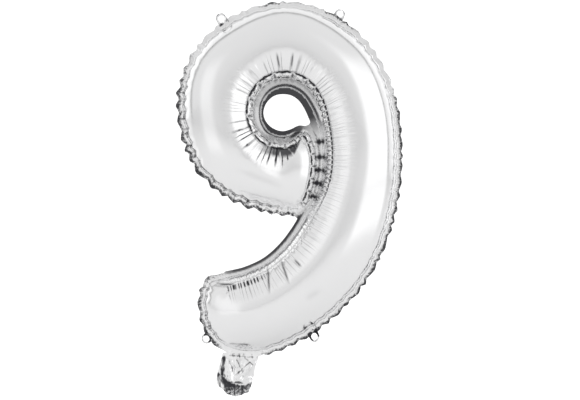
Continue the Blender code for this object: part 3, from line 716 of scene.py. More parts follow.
def step_linear(tree, value, low, high):
    made = tree.nodes.new("ShaderNodeMapRange")
    tree.links.new(value, made.inputs["Value"])
    made.inputs["From Min"].default_value = low
    made.inputs["From Max"].default_value = high
    return made.outputs["Result"]


def attribute(tree, name):
    made = tree.nodes.new("ShaderNodeAttribute")
    made.attribute_name = name
    return made.outputs["Fac"]


def noise_of(tree, vector, scale, detail=2.0, rough=0.5, distort=0.0):
    made = node(tree, "ShaderNodeTexNoise", inputs={"Scale": scale, "Detail": detail, "Roughness": rough, "Distortion": distort})
    tree.links.new(vector, made.inputs["Vector"])
    return made.outputs["Fac"]


def vector_of(tree, x, y, z=0.0):
    made = tree.nodes.new("ShaderNodeCombineXYZ")
    for k, v in enumerate((x, y, z)):
        if isinstance(v, (int, float)):
            made.inputs[k].default_value = v
        else:
            tree.links.new(v, made.inputs[k])
    return made.outputs["Vector"]


def new_material(name):
    made = bpy.data.materials.new(name)
    made.use_nodes = True
    return made, made.node_tree, made.node_tree.nodes["Principled BSDF"]


def silver_foil():
    """Metallised film: near-mirror, drawn into fine radial streaks beside the seams. The
    mesh's attributes say where: see `dress`."""
    made, t, b = new_material("silver_foil_film")
    place = node(t, "ShaderNodeTexCoord").outputs["Object"]
    q, s = attribute(t, "from_inner_seam"), attribute(t, "along_inner_seam")
    line, bead = attribute(t, "from_bead_line"), attribute(t, "bead_phase")
    ring, fan, fold_shade = attribute(t, "ring"), attribute(t, "fan"), attribute(t, "fold_shade")
    shade, edge = attribute(t, "shade"), attribute(t, "rim_dark_reflection")
    out_q, out_s = attribute(t, "from_outer_seam"), attribute(t, "along_outer_seam")
    shade_pool, shade_tick, rough = attribute(t, "shade_pool"), attribute(t, "shade_tick"), attribute(t, "crumpled")

    # radial streaks: unequal sharp pleats, longer and shorter
    wander = noise_of(t, vector_of(t, maths(t, "MULTIPLY", s, 0.09), 0.0), 1.0, 1.0)
    turns = maths(t, "ADD", maths(t, "DIVIDE", s, FAN_PITCH), maths(t, "MULTIPLY", wander, 5.0))
    pleat = maths(t, "PINGPONG", turns, 0.5)
    strength = noise_of(t, vector_of(t, maths(t, "MULTIPLY", s, 0.26), maths(t, "MULTIPLY", q, 0.035)), 1.0, 2.0, 0.55)
    strength = step_between(t, strength, 0.30, 0.68)
    sharp = maths(t, "POWER", maths(t, "MULTIPLY", pleat, 2.0), 0.6)
    fan_h = maths(t, "MULTIPLY", maths(t, "MULTIPLY", sharp, strength), maths(t, "MULTIPLY", fan, FAN_BUMP))
    fine = noise_of(t, vector_of(t, maths(t, "MULTIPLY", s, 0.9), maths(t, "MULTIPLY", q, 0.03), 3.0), 1.0, 2.0, 0.6)
    fine_h = maths(t, "MULTIPLY", maths(t, "SUBTRACT", fine, 0.5), maths(t, "MULTIPLY", fan, FAN_BUMP * 0.8))

    # the beaded line: cushions inside it, a dashed groove on it
    swell = maths(t, "ABSOLUTE", maths(t, "SINE", maths(t, "MULTIPLY", bead, math.pi)))
    uneven = noise_of(t, vector_of(t, maths(t, "MULTIPLY", s, 0.45), maths(t, "MULTIPLY", line, 0.4), 5.0), 1.0, 1.0, 0.5)
    wobble = maths(t, "MULTIPLY", maths(t, "SUBTRACT", uneven, 0.5), 1.6)
    at = maths(t, "ADD", line, wobble)
    groove = maths(t, "MULTIPLY", step_between(t, at, -1.3, -0.2), step_between(t, at, 0.3, 1.1, 1.0, 0.0))
    inner_side = maths(t, "MULTIPLY", step_between(t, at, -5.5, -3.5), step_between(t, at, -1.2, -0.2, 1.0, 0.0))
    cushion = maths(t, "MULTIPLY", inner_side, maths(t, "POWER", swell, 0.6))
    ring_h = maths(t, "MULTIPLY", ring, maths(t, "SUBTRACT", maths(t, "MULTIPLY", cushion, 0.0009), maths(t, "MULTIPLY", groove, 0.0009)))
    pocks = maths(t, "MULTIPLY", maths(t, "MULTIPLY", maths(t, "SUBTRACT", uneven, 0.5), maths(t, "MULTIPLY", rough, inner_side)), 0.0012)

    # soft unevenness of the whole film, and its finest crackle
    broad = maths(t, "MULTIPLY", maths(t, "SUBTRACT", noise_of(t, place, 30.0, 1.0), 0.5), 0.00012)
    crackle = maths(t, "MULTIPLY", maths(t, "SUBTRACT", noise_of(t, place, 420.0, 3.0, 0.6, 0.4), 0.5), 0.000006)
    height = maths(t, "ADD", maths(t, "ADD", fan_h, fine_h), maths(t, "ADD", broad, crackle))
    height = maths(t, "ADD", height, maths(t, "ADD", ring_h, pocks))
    bump = node(t, "ShaderNodeBump", inputs={"Strength": 1.0, "Distance": 1.0})
    t.links.new(height, bump.inputs["Height"])
    t.links.new(bump.outputs["Normal"], b.inputs["Normal"])

    # tone: clean silver, painted dark for shade and dark reflections in fold valleys, the beaded groove, crumples,
    # between beads, below the hole and along the rim; plus a faint random cloud of tone
    cloud = noise_of(t, place, 26.0, 3.0)
    valley = step_between(t, pleat, 0.03, 0.17, 1.0, 0.0)
    # painted shade in the valleys of the radial pleats
    valley_shade = maths(t, "MULTIPLY", maths(t, "MULTIPLY", valley, maths(t, "MAXIMUM", step_between(t, strength, 0.05, 0.55), maths(t, "SUBTRACT", fold_shade, 0.85))), fold_shade, clamp=True)
    # painted shade in the beaded line's groove, between the beads
    groove_shade = maths(t, "MULTIPLY", groove, maths(t, "MULTIPLY", ring, step_between(t, swell, 0.15, 0.5)))
    # painted shade in random spots where the film is crumpled inside the beaded line
    crumple_shade = maths(t, "MULTIPLY", maths(t, "MULTIPLY", inner_side, rough), step_between(t, uneven, 0.56, 0.70, 0.0, 0.7))
    spots = noise_of(t, vector_of(t, maths(t, "MULTIPLY", out_s, 0.42), maths(t, "MULTIPLY", out_q, 0.42), 9.0), 1.0, 4.0, 0.75, 0.8)
    shade_breakup = noise_of(t, vector_of(t, maths(t, "MULTIPLY", s, 0.75), maths(t, "MULTIPLY", q, 0.07), 11.0), 1.0, 1.0, 0.5)
    # painted shade: the patch below the hole, and short dark ticks by the lower concave edge
    shade_pooled = maths(t, "MULTIPLY", shade_pool, step_between(t, shade_breakup, 0.30, 0.48))
    shade_pooled = maths(t, "MAXIMUM", shade_pooled, maths(t, "MULTIPLY", shade_tick, step_between(t, pleat, 0.14, 0.30, 1.0, 0.0)))
    # painted shade between neighbouring beads
    seams = maths(t, "MULTIPLY", maths(t, "MULTIPLY", inner_side, ring), step_between(t, swell, 0.06, 0.34, 0.8, 0.0))
    # painted dark reflection in broken spots along the outer rim
    rim = maths(t, "MULTIPLY", step_between(t, maths(t, "ADD", spots, maths(t, "MULTIPLY", maths(t, "SUBTRACT", edge, 1.0), 0.34)), 0.20, 0.44, 0.0, 0.95), step_between(t, edge, 0.05, 0.3))
    painted_shade_and_tone = maths(t, "MAXIMUM", maths(t, "MAXIMUM", valley_shade, groove_shade), maths(t, "MAXIMUM", rim, crumple_shade))
    painted_shade_and_tone = maths(t, "MAXIMUM", painted_shade_and_tone, maths(t, "MAXIMUM", shade, maths(t, "MAXIMUM", shade_pooled, seams)))
    painted_shade_and_tone = maths(t, "ADD", painted_shade_and_tone, maths(t, "MULTIPLY", cloud, 0.03), clamp=True)
    mix = node(t, "ShaderNodeMix", data_type="RGBA")
    mix.inputs["A"].default_value = (*SILVER_TONE, 1)
    mix.inputs["B"].default_value = (0.035, 0.035, 0.04, 1)
    t.links.new(painted_shade_and_tone, mix.inputs["Factor"])
    t.links.new(mix.outputs["Result"], b.inputs["Base Color"])
    b.inputs["Metallic"].default_value = 1.0
    worn = maths(t, "ADD", maths(t, "MULTIPLY", noise_of(t, place, 60.0, 3.0, 0.6), 0.07), FOIL_ROUGH - 0.035)
    t.links.new(worn, b.inputs["Roughness"])
    return made


def loose_foil():
    """The same film in the tail and the tabs, where nothing pulls it taut."""
    made, t, b = new_material("silver_foil_loose_film")
    place = node(t, "ShaderNodeTexCoord").outputs["Object"]
    dark = attribute(t, "shade")
    fold = noise_of(t, place, 130.0, 3.0, 0.55, 1.0)
    fine = noise_of(t, place, 420.0, 2.0, 0.6, 0.5)
    height = maths(t, "ADD", maths(t, "MULTIPLY", fold, 0.0007), maths(t, "MULTIPLY", fine, 0.00004))
    bump = node(t, "ShaderNodeBump", inputs={"Strength": 1.0, "Distance": 1.0})
    t.links.new(height, bump.inputs["Height"])
    t.links.new(bump.outputs["Normal"], b.inputs["Normal"])
    spot = node(t, "ShaderNodeSeparateXYZ")
    t.links.new(place, spot.inputs[0])
    drawn = vector_of(t, maths(t, "MULTIPLY", spot.outputs[0], 330.0), maths(t, "MULTIPLY", spot.outputs[1], 150.0), maths(t, "MULTIPLY", spot.outputs[2], 105.0))
    shade_breakup = noise_of(t, drawn, 1.0, 3.0, 0.6, 0.3)
    # painted shade on the tail and tabs from their shade attribute, broken up by noise
    amount = step_between(t, maths(t, "ADD", dark, maths(t, "MULTIPLY", maths(t, "SUBTRACT", shade_breakup, 0.5), 1.5)), 0.28, 0.72)
    mix = node(t, "ShaderNodeMix", data_type="RGBA")
    mix.inputs["A"].default_value = (*SILVER_TONE, 1)
    mix.inputs["B"].default_value = (0.05, 0.05, 0.055, 1)
    t.links.new(amount, mix.inputs["Factor"])
    t.links.new(mix.outputs["Result"], b.inputs["Base Color"])
    b.inputs["Metallic"].default_value = 1.0
    t.links.new(maths(t, "ADD", maths(t, "MULTIPLY", fine, 0.06), 0.07), b.inputs["Roughness"])
    return made


def valve_film():
    made, t, b = new_material("clear_valve_film")
    place = node(t, "ShaderNodeTexCoord").outputs["Object"]
    haze = noise_of(t, place, 70.0, 4.0, 0.6, 0.6)
    fine = noise_of(t, place, 380.0, 2.0)
    b.inputs["Base Color"].default_value = (0.82, 0.84, 0.85, 1)
    b.inputs["Metallic"].default_value = 0.0
    t.links.new(maths(t, "ADD", maths(t, "MULTIPLY", haze, 0.35), 0.32), b.inputs["Alpha"])
    t.links.new(maths(t, "ADD", maths(t, "MULTIPLY", fine, 0.2), 0.12), b.inputs["Roughness"])
    bump = node(t, "ShaderNodeBump", inputs={"Strength": 1.0, "Distance": 1.0})
    t.links.new(maths(t, "MULTIPLY", fine, 0.00004), bump.inputs["Height"])
    t.links.new(bump.outputs["Normal"], b.inputs["Normal"])
    return made


# --------------------------------------------------------------------------- the pieces
def sheet(name, points, tris, mat, normal, thick, **fields):
    """A closed thin sheet from drawing millimetres (x, y, z): smooth, but sharp at its
    cut edge. The points are its outer face."""
    m = len(points)
    e = np.concatenate([tris[:, [0, 1]], tris[:, [1, 2]], tris[:, [2, 0]]])
    _, first, count = np.unique(np.sort(e, axis=1), axis=0, return_inverse=True, return_counts=True)
    rims = e[count[first.ravel()] == 1]
    wall = np.vstack([
        np.column_stack([rims[:, 1], rims[:, 0], rims[:, 0] + m]),
        np.column_stack([rims[:, 1], rims[:, 0] + m, rims[:, 1] + m]),
    ])
    points = np.vstack([points, points - normal * thick])
    tris = np.vstack([tris, tris[:, ::-1] + m, wall])
    fields = {key: np.tile(values, 2) for key, values in fields.items()}
    used = np.zeros(len(points), bool)
    used[tris.ravel()] = True
    new = np.cumsum(used) - 1
    tris, rims = new[tris], new[np.vstack([rims, rims + m])]
    where = points[used].copy()
    where[:, 0] -= DATUM[0]
    where[:, 2] -= DATUM[1]
    where *= 0.001
    mesh = bpy.data.meshes.new(name)
    mesh.vertices.add(len(where))
    mesh.vertices.foreach_set("co", where.astype(np.float32).ravel())
    mesh.loops.add(tris.size)
    mesh.loops.foreach_set("vertex_index", tris.astype(np.int32).ravel())
    mesh.polygons.add(len(tris))
    mesh.polygons.foreach_set("loop_start", np.arange(0, tris.size, 3, dtype=np.int32))
    mesh.update(calc_edges=True)
    mesh.validate()
    mesh.polygons.foreach_set("use_smooth", np.ones(len(mesh.polygons), bool))
    ends = np.empty(len(mesh.edges) * 2, np.int32)
    mesh.edges.foreach_get("vertices", ends)
    ends = np.sort(ends.reshape(-1, 2), axis=1).astype(np.int64)
    rims = np.sort(rims, axis=1)
    sharp = np.isin(ends[:, 0] * len(where) + ends[:, 1], rims[:, 0] * len(where) + rims[:, 1])
    mesh.attributes.new("sharp_edge", "BOOLEAN", "EDGE").data.foreach_set("value", sharp)
    for key, values in fields.items():
        layer = mesh.attributes.new(key, "FLOAT", "POINT")
        layer.data.foreach_set("value", np.asarray(values, np.float32)[used])
    mesh.materials.append(mat)
    obj = bpy.data.objects.new(name, mesh)
    bpy.context.scene.collection.objects.link(obj)
    return obj


def channel(points):
    """1 over the valve films, 0 beside them."""
    uv = tail_uv(points)
    across = np.clip((13.0 - np.abs(uv[:, 0])) / 3.0, 0, 1)
    return across * np.clip((uv[:, 1] + 12.0) / 3.0, 0, 1)


def fade_ends(t):
    return np.minimum(1, 3 * np.minimum(t, 1 - t) + 0.15)


def dress(f, x):
    """The film's fine detail: cushions and creases too sharp for the cables, and for every
    point how it lies to the seams, which the foil's material reads. Returns both."""
    near, arc, at = refine(TARGET), refine(ARC[:, None])[:, 0], np.repeat(STATION, 4) % 65
    arc[-4:] = ARC[-1]
    inner = np.repeat(INNER_RUN, 4)
    flat = x[:, [0, 2]]
    q, k = nearest(flat, near[inner])
    s, st = arc[inner][k], at[inner][k]
    way = np.roll(near, -2, axis=0) - np.roll(near, 2, axis=0)
    way = (way / np.linalg.norm(way, axis=1)[:, None])[inner][k]
    s = s + np.clip(np.einsum("ij,ij->i", flat - near[inner][k], way), -0.2, 0.2)
    out_q, ko = nearest(flat, near[~inner])
    out_s, out_st = arc[~inner][ko], at[~inner][ko]
    own = f.front_of
    ply = (f.shared & ~f.is_seam)[own]
    wall = ~f.shared[own]
    by_inner = q < out_q
    line = q - profile(st, BEAD_LINE)
    pitch = profile(arc, [(arc[np.argmin(np.abs(at - a))], p) for a, p in BEAD_PITCH])
    turn = np.concatenate([[0], np.cumsum(np.diff(arc) / pitch[1:])])
    bead = turn[inner][k]
    ring = profile(st, RING_HOW) * by_inner * (~ply) * np.clip(1 - np.abs(line) / 12, 0, 1) ** 0.3
    low = profile(st, [(38.9, 0), (39, 1), (43, 1), (44.5, 0)])
    short = low * profile(q, [(0, 0.3), (3, 1), (14, 1), (19, 0)]) + (1 - low) * profile(line, FAN_REACH)
    fan = profile(st, FAN_HOW) * short * by_inner * (~ply)
    # painted shade in the fold valleys, by station and by distance from the beaded line
    fold_shade = profile(st, FOLD_SHADE_HOW) * profile(line, FOLD_SHADE_REACH) * by_inner * (~ply)
    far_web = nearest(flat, TARGET[(STATION > 59.2) & (STATION < 64.9)])[0]
    fade = np.where((st > 54) & (st < 58.9), np.clip((far_web - q) / 5, 0, 1), 1)
    fan, fold_shade = fan * fade, fold_shade * fade
    shade = np.zeros(len(x))
    # painted dark reflection: flat film in the hole and along the hollow of the tail is painted as showing the dark
    # room
    thin = 1 - 0.85 * profile(st, [(38.9, 0), (39, 1), (44.5, 1), (46, 0)]) * np.clip((3.4 - f.d_in[own]) / 1.0, 0, 1)
    shade = np.where(ply & by_inner, profile(st, PLY_SHADE) * thin, shade)
    shade = np.maximum(shade, wall * by_inner * profile(st, WALL_SHADE) * profile(line, [(-13, 0.8), (-10, 1), (-6, 1), (-4, 0.3), (-2, 0)]))
    # painted shade in a patch below the hole, broken up by noise in the material
    shade_pool = wall * by_inner * profile(st, SHADE_POOL_HOW) * profile(line, [(-1.5, 0), (0, 1), (6.5, 1), (10, 0)]) * np.clip(fade * 2.5, 0, 1)
    # painted shade: short dark ticks across the fan above the lower concave edge
    shade_tick = wall * by_inner * profile(st, SHADE_TICK_HOW) * profile(q, [(6.5, 0), (8, 1), (11.5, 1), (13, 0)])
    # painted shade: star-shaped dark marks at the web's pinches, and a dark line down its middle
    dx, dz = (flat - np.array(WEB_STARS, float)[nearest(flat, np.array(WEB_STARS, float))[1]]).T
    stars = np.exp(-((dx / 1.5) ** 2) - (dz / 3.4) ** 2) + np.exp(-((dx / 4.0) ** 2) - (dz / 1.4) ** 2)
    to_stem = nearest(flat, near[(at > 46) & (at < 49)])[0]
    centre = np.exp(-(((far_web - to_stem) / 1.5) ** 2)) * (far_web < 6) * ply
    shade = np.maximum(shade, 0.8 * centre * by_inner)
    near_web = ((st > 58.6) | (st < 0.5) | ((st > 45.6) & (st < 49.4))) & (q < 7)
    shade = np.maximum(shade, np.where(near_web, 1.5 * stars, 0))
    # painted shade in the listed patches
    for (cx, cz), (rx, rz), turned, much in SHADE_PATCHES:
        c, w = math.cos(math.radians(turned)), math.sin(math.radians(turned))
        dx, dz = flat[:, 0] - cx, flat[:, 1] - cz
        r = np.hypot((dx * c + dz * w) / rx, (dz * c - dx * w) / rz)
        shade = np.maximum(shade, much * np.clip((1.25 - r) / 0.5, 0, 1) * by_inner)
    # pointed scallops round the outside of every bend
    uv = tail_uv(flat)
    calm = 1 - np.clip((22 - np.abs(uv[:, 0])) / 4, 0, 1) * np.clip((uv[:, 1] + 16) / 4, 0, 1)
    strong = profile(out_st, RIM_HOW) * calm * (~by_inner)
    turn = phase(out_s, RIM_PITCH, 5, 0.32) / (2 * math.pi)
    t = turn % 1.0
    odd = np.floor(turn).astype(int)
    lottery = np.random.default_rng(17).uniform(-1, 1, (odd.max() + 3, 3))[odd]
    apex = 0.5 + 0.16 * lottery[:, 0]
    peak = np.where(t < apex, t / apex, (1 - t) / (1 - apex))
    strong = strong * (1 + 0.25 * lottery[:, 1])
    far = np.where(ply, f.d_out[own], 0)
    into = np.where(ply, 0, out_q)
    reach = np.where(ply, 0.45 + 0.55 * far / FLANGE, 0.45 * np.clip(1 - into / 6.0, 0, 1) ** 1.3)
    normal = refine(NORMAL)[~inner][ko]
    moved = strong * reach * RIM_SIZE[0] * (peak**0.85 - 0.40)
    x = x.copy()
    x[:, 0] += normal[:, 0] * moved
    x[:, 2] += normal[:, 1] * moved
    x[:, 1] += strong * profile(out_st, RIM_DEPTH) * reach * RIM_SIZE[1] * (np.where(lottery[:, 2] > 0, 1, -1) * (peak - 0.3) + 0.5 * (t - 0.5))
    side = np.ones(f.total)
    side[f.back[f.inner]] = -1
    n = normals_of(x, f.panels)
    n[f.shared[own]] = 0
    puff = profile(into, [(0, 0.3), (2, 1), (4, 0.7), (7, 0.0)]) * wall
    x = x + n * (strong * profile(out_st, RIM_DEPTH) * puff * RIM_SIZE[2] * (np.clip(peak, 0, 1) ** 0.6 - 0.55))[:, None]
    # painted dark reflection along the flange's outer edge and on the scallops' cusps
    lens = (0.62 + 0.38 * peak) * np.clip((far - profile(out_st, RIM_EDGE)) / 1.2, 0, 1)
    facet = 0.5 * np.clip((peak - 0.1) * 4, 0, 1) * (t > apex) * np.clip((3.0 - into) / 1.5, 0, 1) * (~ply | (far < 1.5))
    patchy = np.where((out_st > 13) & (out_st < 22) & (lottery[:, 1] < -0.2), 0.3, 1.0)
    edge = patchy * profile(out_st, RIM_DARK_REFLECTION) * np.maximum(lens, facet * profile(out_st, RIM_FACET)) * (~by_inner) * calm
    # painted shade in the folds between scallops
    crease = np.clip((0.14 - peak) / 0.14, 0, 1) * np.clip((4 - into) / 3, 0, 1) * (~by_inner) * calm
    shade = np.maximum(shade, crease * profile(out_st, RIM_CREASE))
    # cushions between the beaded line and the seam
    n = normals_of(x, f.panels)
    n[f.shared[own]] = 0
    pleats = np.sin(phase(s, 5.2, 11)) + 0.6 * np.sin(phase(s, 3.9, 12))
    x = x + n * (fan * PLEAT * pleats - wall * ring * GROOVE * np.exp(-((line / 1.2) ** 2)))[:, None]
    swell = np.abs(np.sin(math.pi * bead))
    x = x + n * (wall * ring * CUSHION * np.exp(-(((line + 2.6) / 1.8) ** 2)) * (swell ** 0.7 - 0.45))[:, None]
    for (x0, z0), (x1, z1), deep, wide in CREASES:
        a, b = np.array([x0, z0], float), np.array([x1, z1], float)
        t = np.clip(((flat - a) @ (b - a)) / ((b - a) @ (b - a)), 0, 1)
        off = np.linalg.norm(flat - (a + t[:, None] * (b - a)), axis=1)
        fade = fade_ends(t)
        x = x - n * (wall * deep * fade * np.exp(-((off / wide) ** 2)))[:, None]
        # painted shade along each crease: faint on broad ones, dark on sharp ones
        if wide > 1.5:
            shade = np.maximum(shade, 0.11 * fade_ends(t) * np.exp(-((off / 2.6) ** 2)) * wall)
        else:
            shade = np.maximum(shade, 0.95 * fade * np.exp(-((off / 0.85) ** 2)) * wall)
    fields = dict(
        from_inner_seam=q, along_inner_seam=s, from_bead_line=line, bead_phase=bead, ring=ring,
        crumpled=ring * profile(st, CRUMPLED), fan=fan, fold_shade=fold_shade, shade_pool=shade_pool, shade_tick=shade_tick, shade=np.clip(shade, 0, 1), rim_dark_reflection=edge, from_outer_seam=out_q,
        along_outer_seam=out_s, flange=ply.astype(float),
    )
    return x, fields


def skins(f, x):
    """Front and back foil: a panel and its ply of the flange."""
    foil = silver_foil()
    x, fields = dress(f, x)
    flat_normal = normals_of(x, f.flange_tris)
    flange = (f.shared & ~f.is_seam)[f.front_of]
    lift = channel(x[:, [0, 2]]) * f.shared[f.front_of]
    for name, cad, tris, flip in (
        ("front_foil_skin", "front_foil_panel", np.vstack([f.front_tris, f.flange_tris]), 1),
        ("back_foil_skin", "back_foil_panel", np.vstack([f.back_tris, f.flange_tris[:, ::-1]]), -1),
    ):
        p = x + flat_normal * (0.15 * flange * flip)[:, None]
        p[:, 1] -= flip * 0.75 * lift
        obj = sheet(name, p, tris, foil, normals_of(p, tris), 0.1, **fields)
        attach(obj, "envelope")
        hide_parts(cad)


def patch(outline, pitch, seed, hole=None):
    """Even mesh of a flat outline: 2-D points and triangles."""
    rng = np.random.default_rng(seed)
    loops = [outline] + ([hole] if hole is not None else [])
    edge = np.vstack(loops)
    lo, hi = outline.min(0), outline.max(0)
    xs, zs = np.arange(lo[0], hi[0], pitch), np.arange(lo[1], hi[1], pitch * 0.866)
    gx, gz = np.meshgrid(xs, zs, indexing="ij")
    gx = gx + (np.arange(len(zs)) % 2)[None] * pitch * 0.5
    q = np.column_stack([gx.ravel(), gz.ravel()]) + rng.uniform(-0.1, 0.1, (gx.size, 2)) * pitch
    q = q[inside(q, outline) & (nearest(q, edge)[0] > 0.55 * pitch)]
    if hole is not None:
        q = q[~inside(q, hole)]
    spots, tris, _ = triangulate(np.vstack([edge, q]), [len(loop) for loop in loops])
    mid = spots[tris].mean(1)
    keep = inside(mid, outline)
    if hole is not None:
        keep &= ~inside(mid, hole)
    return spots, tris[keep]


def even(points, pitch):
    p = np.vstack([points, points[:1]])
    length = np.concatenate([[0], np.cumsum(np.linalg.norm(np.diff(p, axis=0), axis=1))])
    at = np.linspace(0, length[-1], max(8, round(length[-1] / pitch)), endpoint=False)
    return np.column_stack([np.interp(at, length, p[:, k]) for k in (0, 1)])


def lattice_noise(points, pitch, seed):
    """Smooth noise, about -1 to 1, with features `pitch` across."""
    rng = np.random.default_rng(seed)
    q = points / pitch
    base = np.floor(q).astype(int)
    lo = base.min(0)
    table = rng.uniform(-1, 1, tuple(base.max(0) - lo + 2))
    t = q - base
    t = t * t * (3 - 2 * t)
    i, j = (base - lo).T
    return (
        table[i, j] * (1 - t[:, 0]) * (1 - t[:, 1]) + table[i + 1, j] * t[:, 0] * (1 - t[:, 1])
        + table[i, j + 1] * (1 - t[:, 0]) * t[:, 1] + table[i + 1, j + 1] * t[:, 0] * t[:, 1]
    )


def tail_shape(uv):
    """Where the crumpled tail's middle surface is, for points (u across, v down)."""
    u, v = uv[:, 0], uv[:, 1]
    grow = np.clip((v - 1.5) / 6.0, 0, 1)
    grow = grow * grow * (3 - 2 * grow)
    y = np.zeros(len(uv))
    for (u0, v0), (u1, v1), high, wide in TAIL_FOLDS:
        a, b = np.array([u0, v0]), np.array([u1, v1])
        t = np.clip(((uv - a) @ (b - a)) / ((b - a) @ (b - a)), 0, 1)
        off = np.linalg.norm(uv - (a + t[:, None] * (b - a)), axis=1)
        y += high * np.maximum(1 - off / wide, 0) ** 1.4
    y += 0.9 * lattice_noise(uv, 7.0, 5) + 0.35 * lattice_noise(uv, 3.0, 6)
    y += TAIL_BOW * (u / 17.0) ** 2
    y *= grow
    # the free end curls
    turn = np.clip((v - TAIL_CURL[0]) / TAIL_CURL[1], 0, None)
    angle = np.minimum(turn, TAIL_CURL[2])
    straight = np.maximum(turn - TAIL_CURL[2], 0) * TAIL_CURL[1]
    r = TAIL_CURL[1]
    down = np.minimum(v, TAIL_CURL[0]) + r * np.sin(angle) + straight * np.cos(angle)
    out = r * (1 - np.cos(angle)) + straight * np.sin(angle)
    side = TAIL_CURL[3]
    down = down + y * np.sin(angle) * side * -1
    depth = side * out + y * np.cos(angle)
    flat = tail_point(u, down)
    return np.column_stack([flat[:, 0], depth, flat[:, 1]])


def tail():
    foil = loose_foil()
    clear = valve_film()
    top = [tail_point(m, -2.6) for m in np.linspace(-18.6, 18.6, 12)]
    outline = even(np.array(top[::-1] + [np.array(p) for p in TAIL_SIDE_L + TAIL_END + TAIL_SIDE_R]), 1.0)
    spots, tris = patch(outline, 1.0, 21)
    uv = tail_uv(spots)
    # the curl shortens the tail, so its end is laid out longer, most of all in the middle
    past = np.clip(uv[:, 1] - TAIL_CURL[0], 0, None)
    uv[:, 1] += past * (TAIL_STRETCH * (1 - TAIL_ROUND * np.clip(np.abs(uv[:, 0]) / 17, 0, 1) ** 2.5) - 1)
    mid = tail_shape(uv)
    n = normals_of(mid, tris)
    if n[:, 1].mean() > 0:
        tris, n = tris[:, ::-1], -n
    laid = tail_uv(spots)
    down = laid[:, 1] + 6.5 * (laid[:, 0] / 17.0) ** 2
    # painted shade near the tail's top, and painted dark reflection across its curled free end
    shade = np.interp(down, [-3, 0, 4, 27.0, 29.5, 34, 40], [0.30, 0.26, 0.10, 0.0, 0.72, 0.60, 0.45])
    for (u0, v0), (u1, v1), much, wide in TAIL_SHADES:
        a, b = np.array([u0, v0], float), np.array([u1, v1], float)
        part = np.clip(((laid - a) @ (b - a)) / ((b - a) @ (b - a)), 0, 1)
        off = np.linalg.norm(laid - (a + part[:, None] * (b - a)), axis=1)
        shade = np.maximum(shade, much * np.exp(-((off / wide) ** 2)))
    rise = 0.15 + 0.75 * np.clip((13.0 - np.abs(uv[:, 0])) / 3.0, 0, 1) * np.clip((39.0 - uv[:, 1]) / 3, 0, 1)
    rise = rise + 0.1 * np.clip(1.5 - uv[:, 1], 0, 1)
    ends = (
        (FOLD_MID - 1.3 * FOLD_DOWN - DATUM) * 0.001,
        (FOLD_MID + 1.3 * FOLD_DOWN - DATUM) * 0.001,
    )
    ends = [(float(e[0]), 0.0, float(e[1])) for e in ends]
    for name, cad, flip in (("tail_front_skin", "tail_front_leaf", 1), ("tail_back_skin", "tail_back_leaf", -1)):
        obj = sheet(name, mid + n * (rise * flip)[:, None], tris[:, :: int(flip)], foil, n * flip, 0.1, shade=shade)
        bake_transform(obj)
        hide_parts(cad)
    # the valve films lie between the leaves
    low = np.abs(uv[:, 0]) < 9.0
    t = tris[low[tris].all(1) & (uv[tris][:, :, 1] > 1.3).all(1) & (uv[tris][:, :, 1] < 37).all(1)]
    for name, cad, flip in (("tail_valve_front_skin", "tail_valve_front_film", 1), ("tail_valve_back_skin", "tail_valve_back_film", -1)):
        obj = sheet(name, mid + n * (0.35 * flip), t[:, :: int(flip)], clear, n * flip, 0.1)
        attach(obj, "fill_tail")
        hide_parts(cad)
    for k, (cad, body, free) in enumerate((
        ("valve_neck_front_film", "envelope", False), ("valve_neck_back_film", "envelope", False),
        ("valve_front_film", "valve_front_flap", True), ("valve_back_film", "valve_back_flap", True),
    )):
        valve_strip(cad, body, free, -1 if k % 2 == 0 else 1, clear)


def valve_strip(cad, body, free, side, clear):
    """One clear film of the valve inside the foot: cupped away from its partner, and with
    rounded corners where its end lies free."""
    co = np.array([tuple(v.co) for v in bpy.data.objects[cad].data.vertices]) * 1000
    quad = np.unique(np.round(co[:, [0, 2]], 2), axis=0)
    quad = quad[np.argsort(quad[:, 1])]
    low, high = quad[:2], quad[-2:]
    low, high = low[np.argsort(low[:, 0])] + DATUM, high[np.argsort(high[:, 0])] + DATUM
    wide, tall = np.linalg.norm(low[1] - low[0]), np.linalg.norm(high[0] - low[0])
    half, r = wide / 2, (4.0 if free else 0.3)
    turn = np.linspace(0, math.pi / 2, 9)
    corner = np.column_stack([half - r + r * np.cos(turn), tall - r + r * np.sin(turn)])
    outline = np.vstack([corner, (corner * (-1, 1))[::-1], [(-half, 0), (half, 0)]])
    spots, tris = patch(even(outline, 1.0), 1.1, 61)
    u, v = spots.T
    a, b = (u / wide + 0.5)[:, None], (v / tall)[:, None]
    flat = (low[0] * (1 - a) + low[1] * a) * (1 - b) + (high[0] * (1 - a) + high[1] * a) * b
    away = np.clip(v / 8.0, 0, 1) * free
    y = 0.35 + away * (0.5 * (1 - (u / half) ** 2) + 0.12 * (1 + lattice_noise(spots, 5.0, 62 + side)))
    p = np.column_stack([flat[:, 0], side * y, flat[:, 1]])
    n = normals_of(p, tris)
    if n[:, 1].mean() * side < 0:
        tris, n = tris[:, ::-1], -n
    obj = sheet(cad.replace("_film", "_skin"), p, tris, clear, n, 0.1)
    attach(obj, body)
    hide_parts(cad)


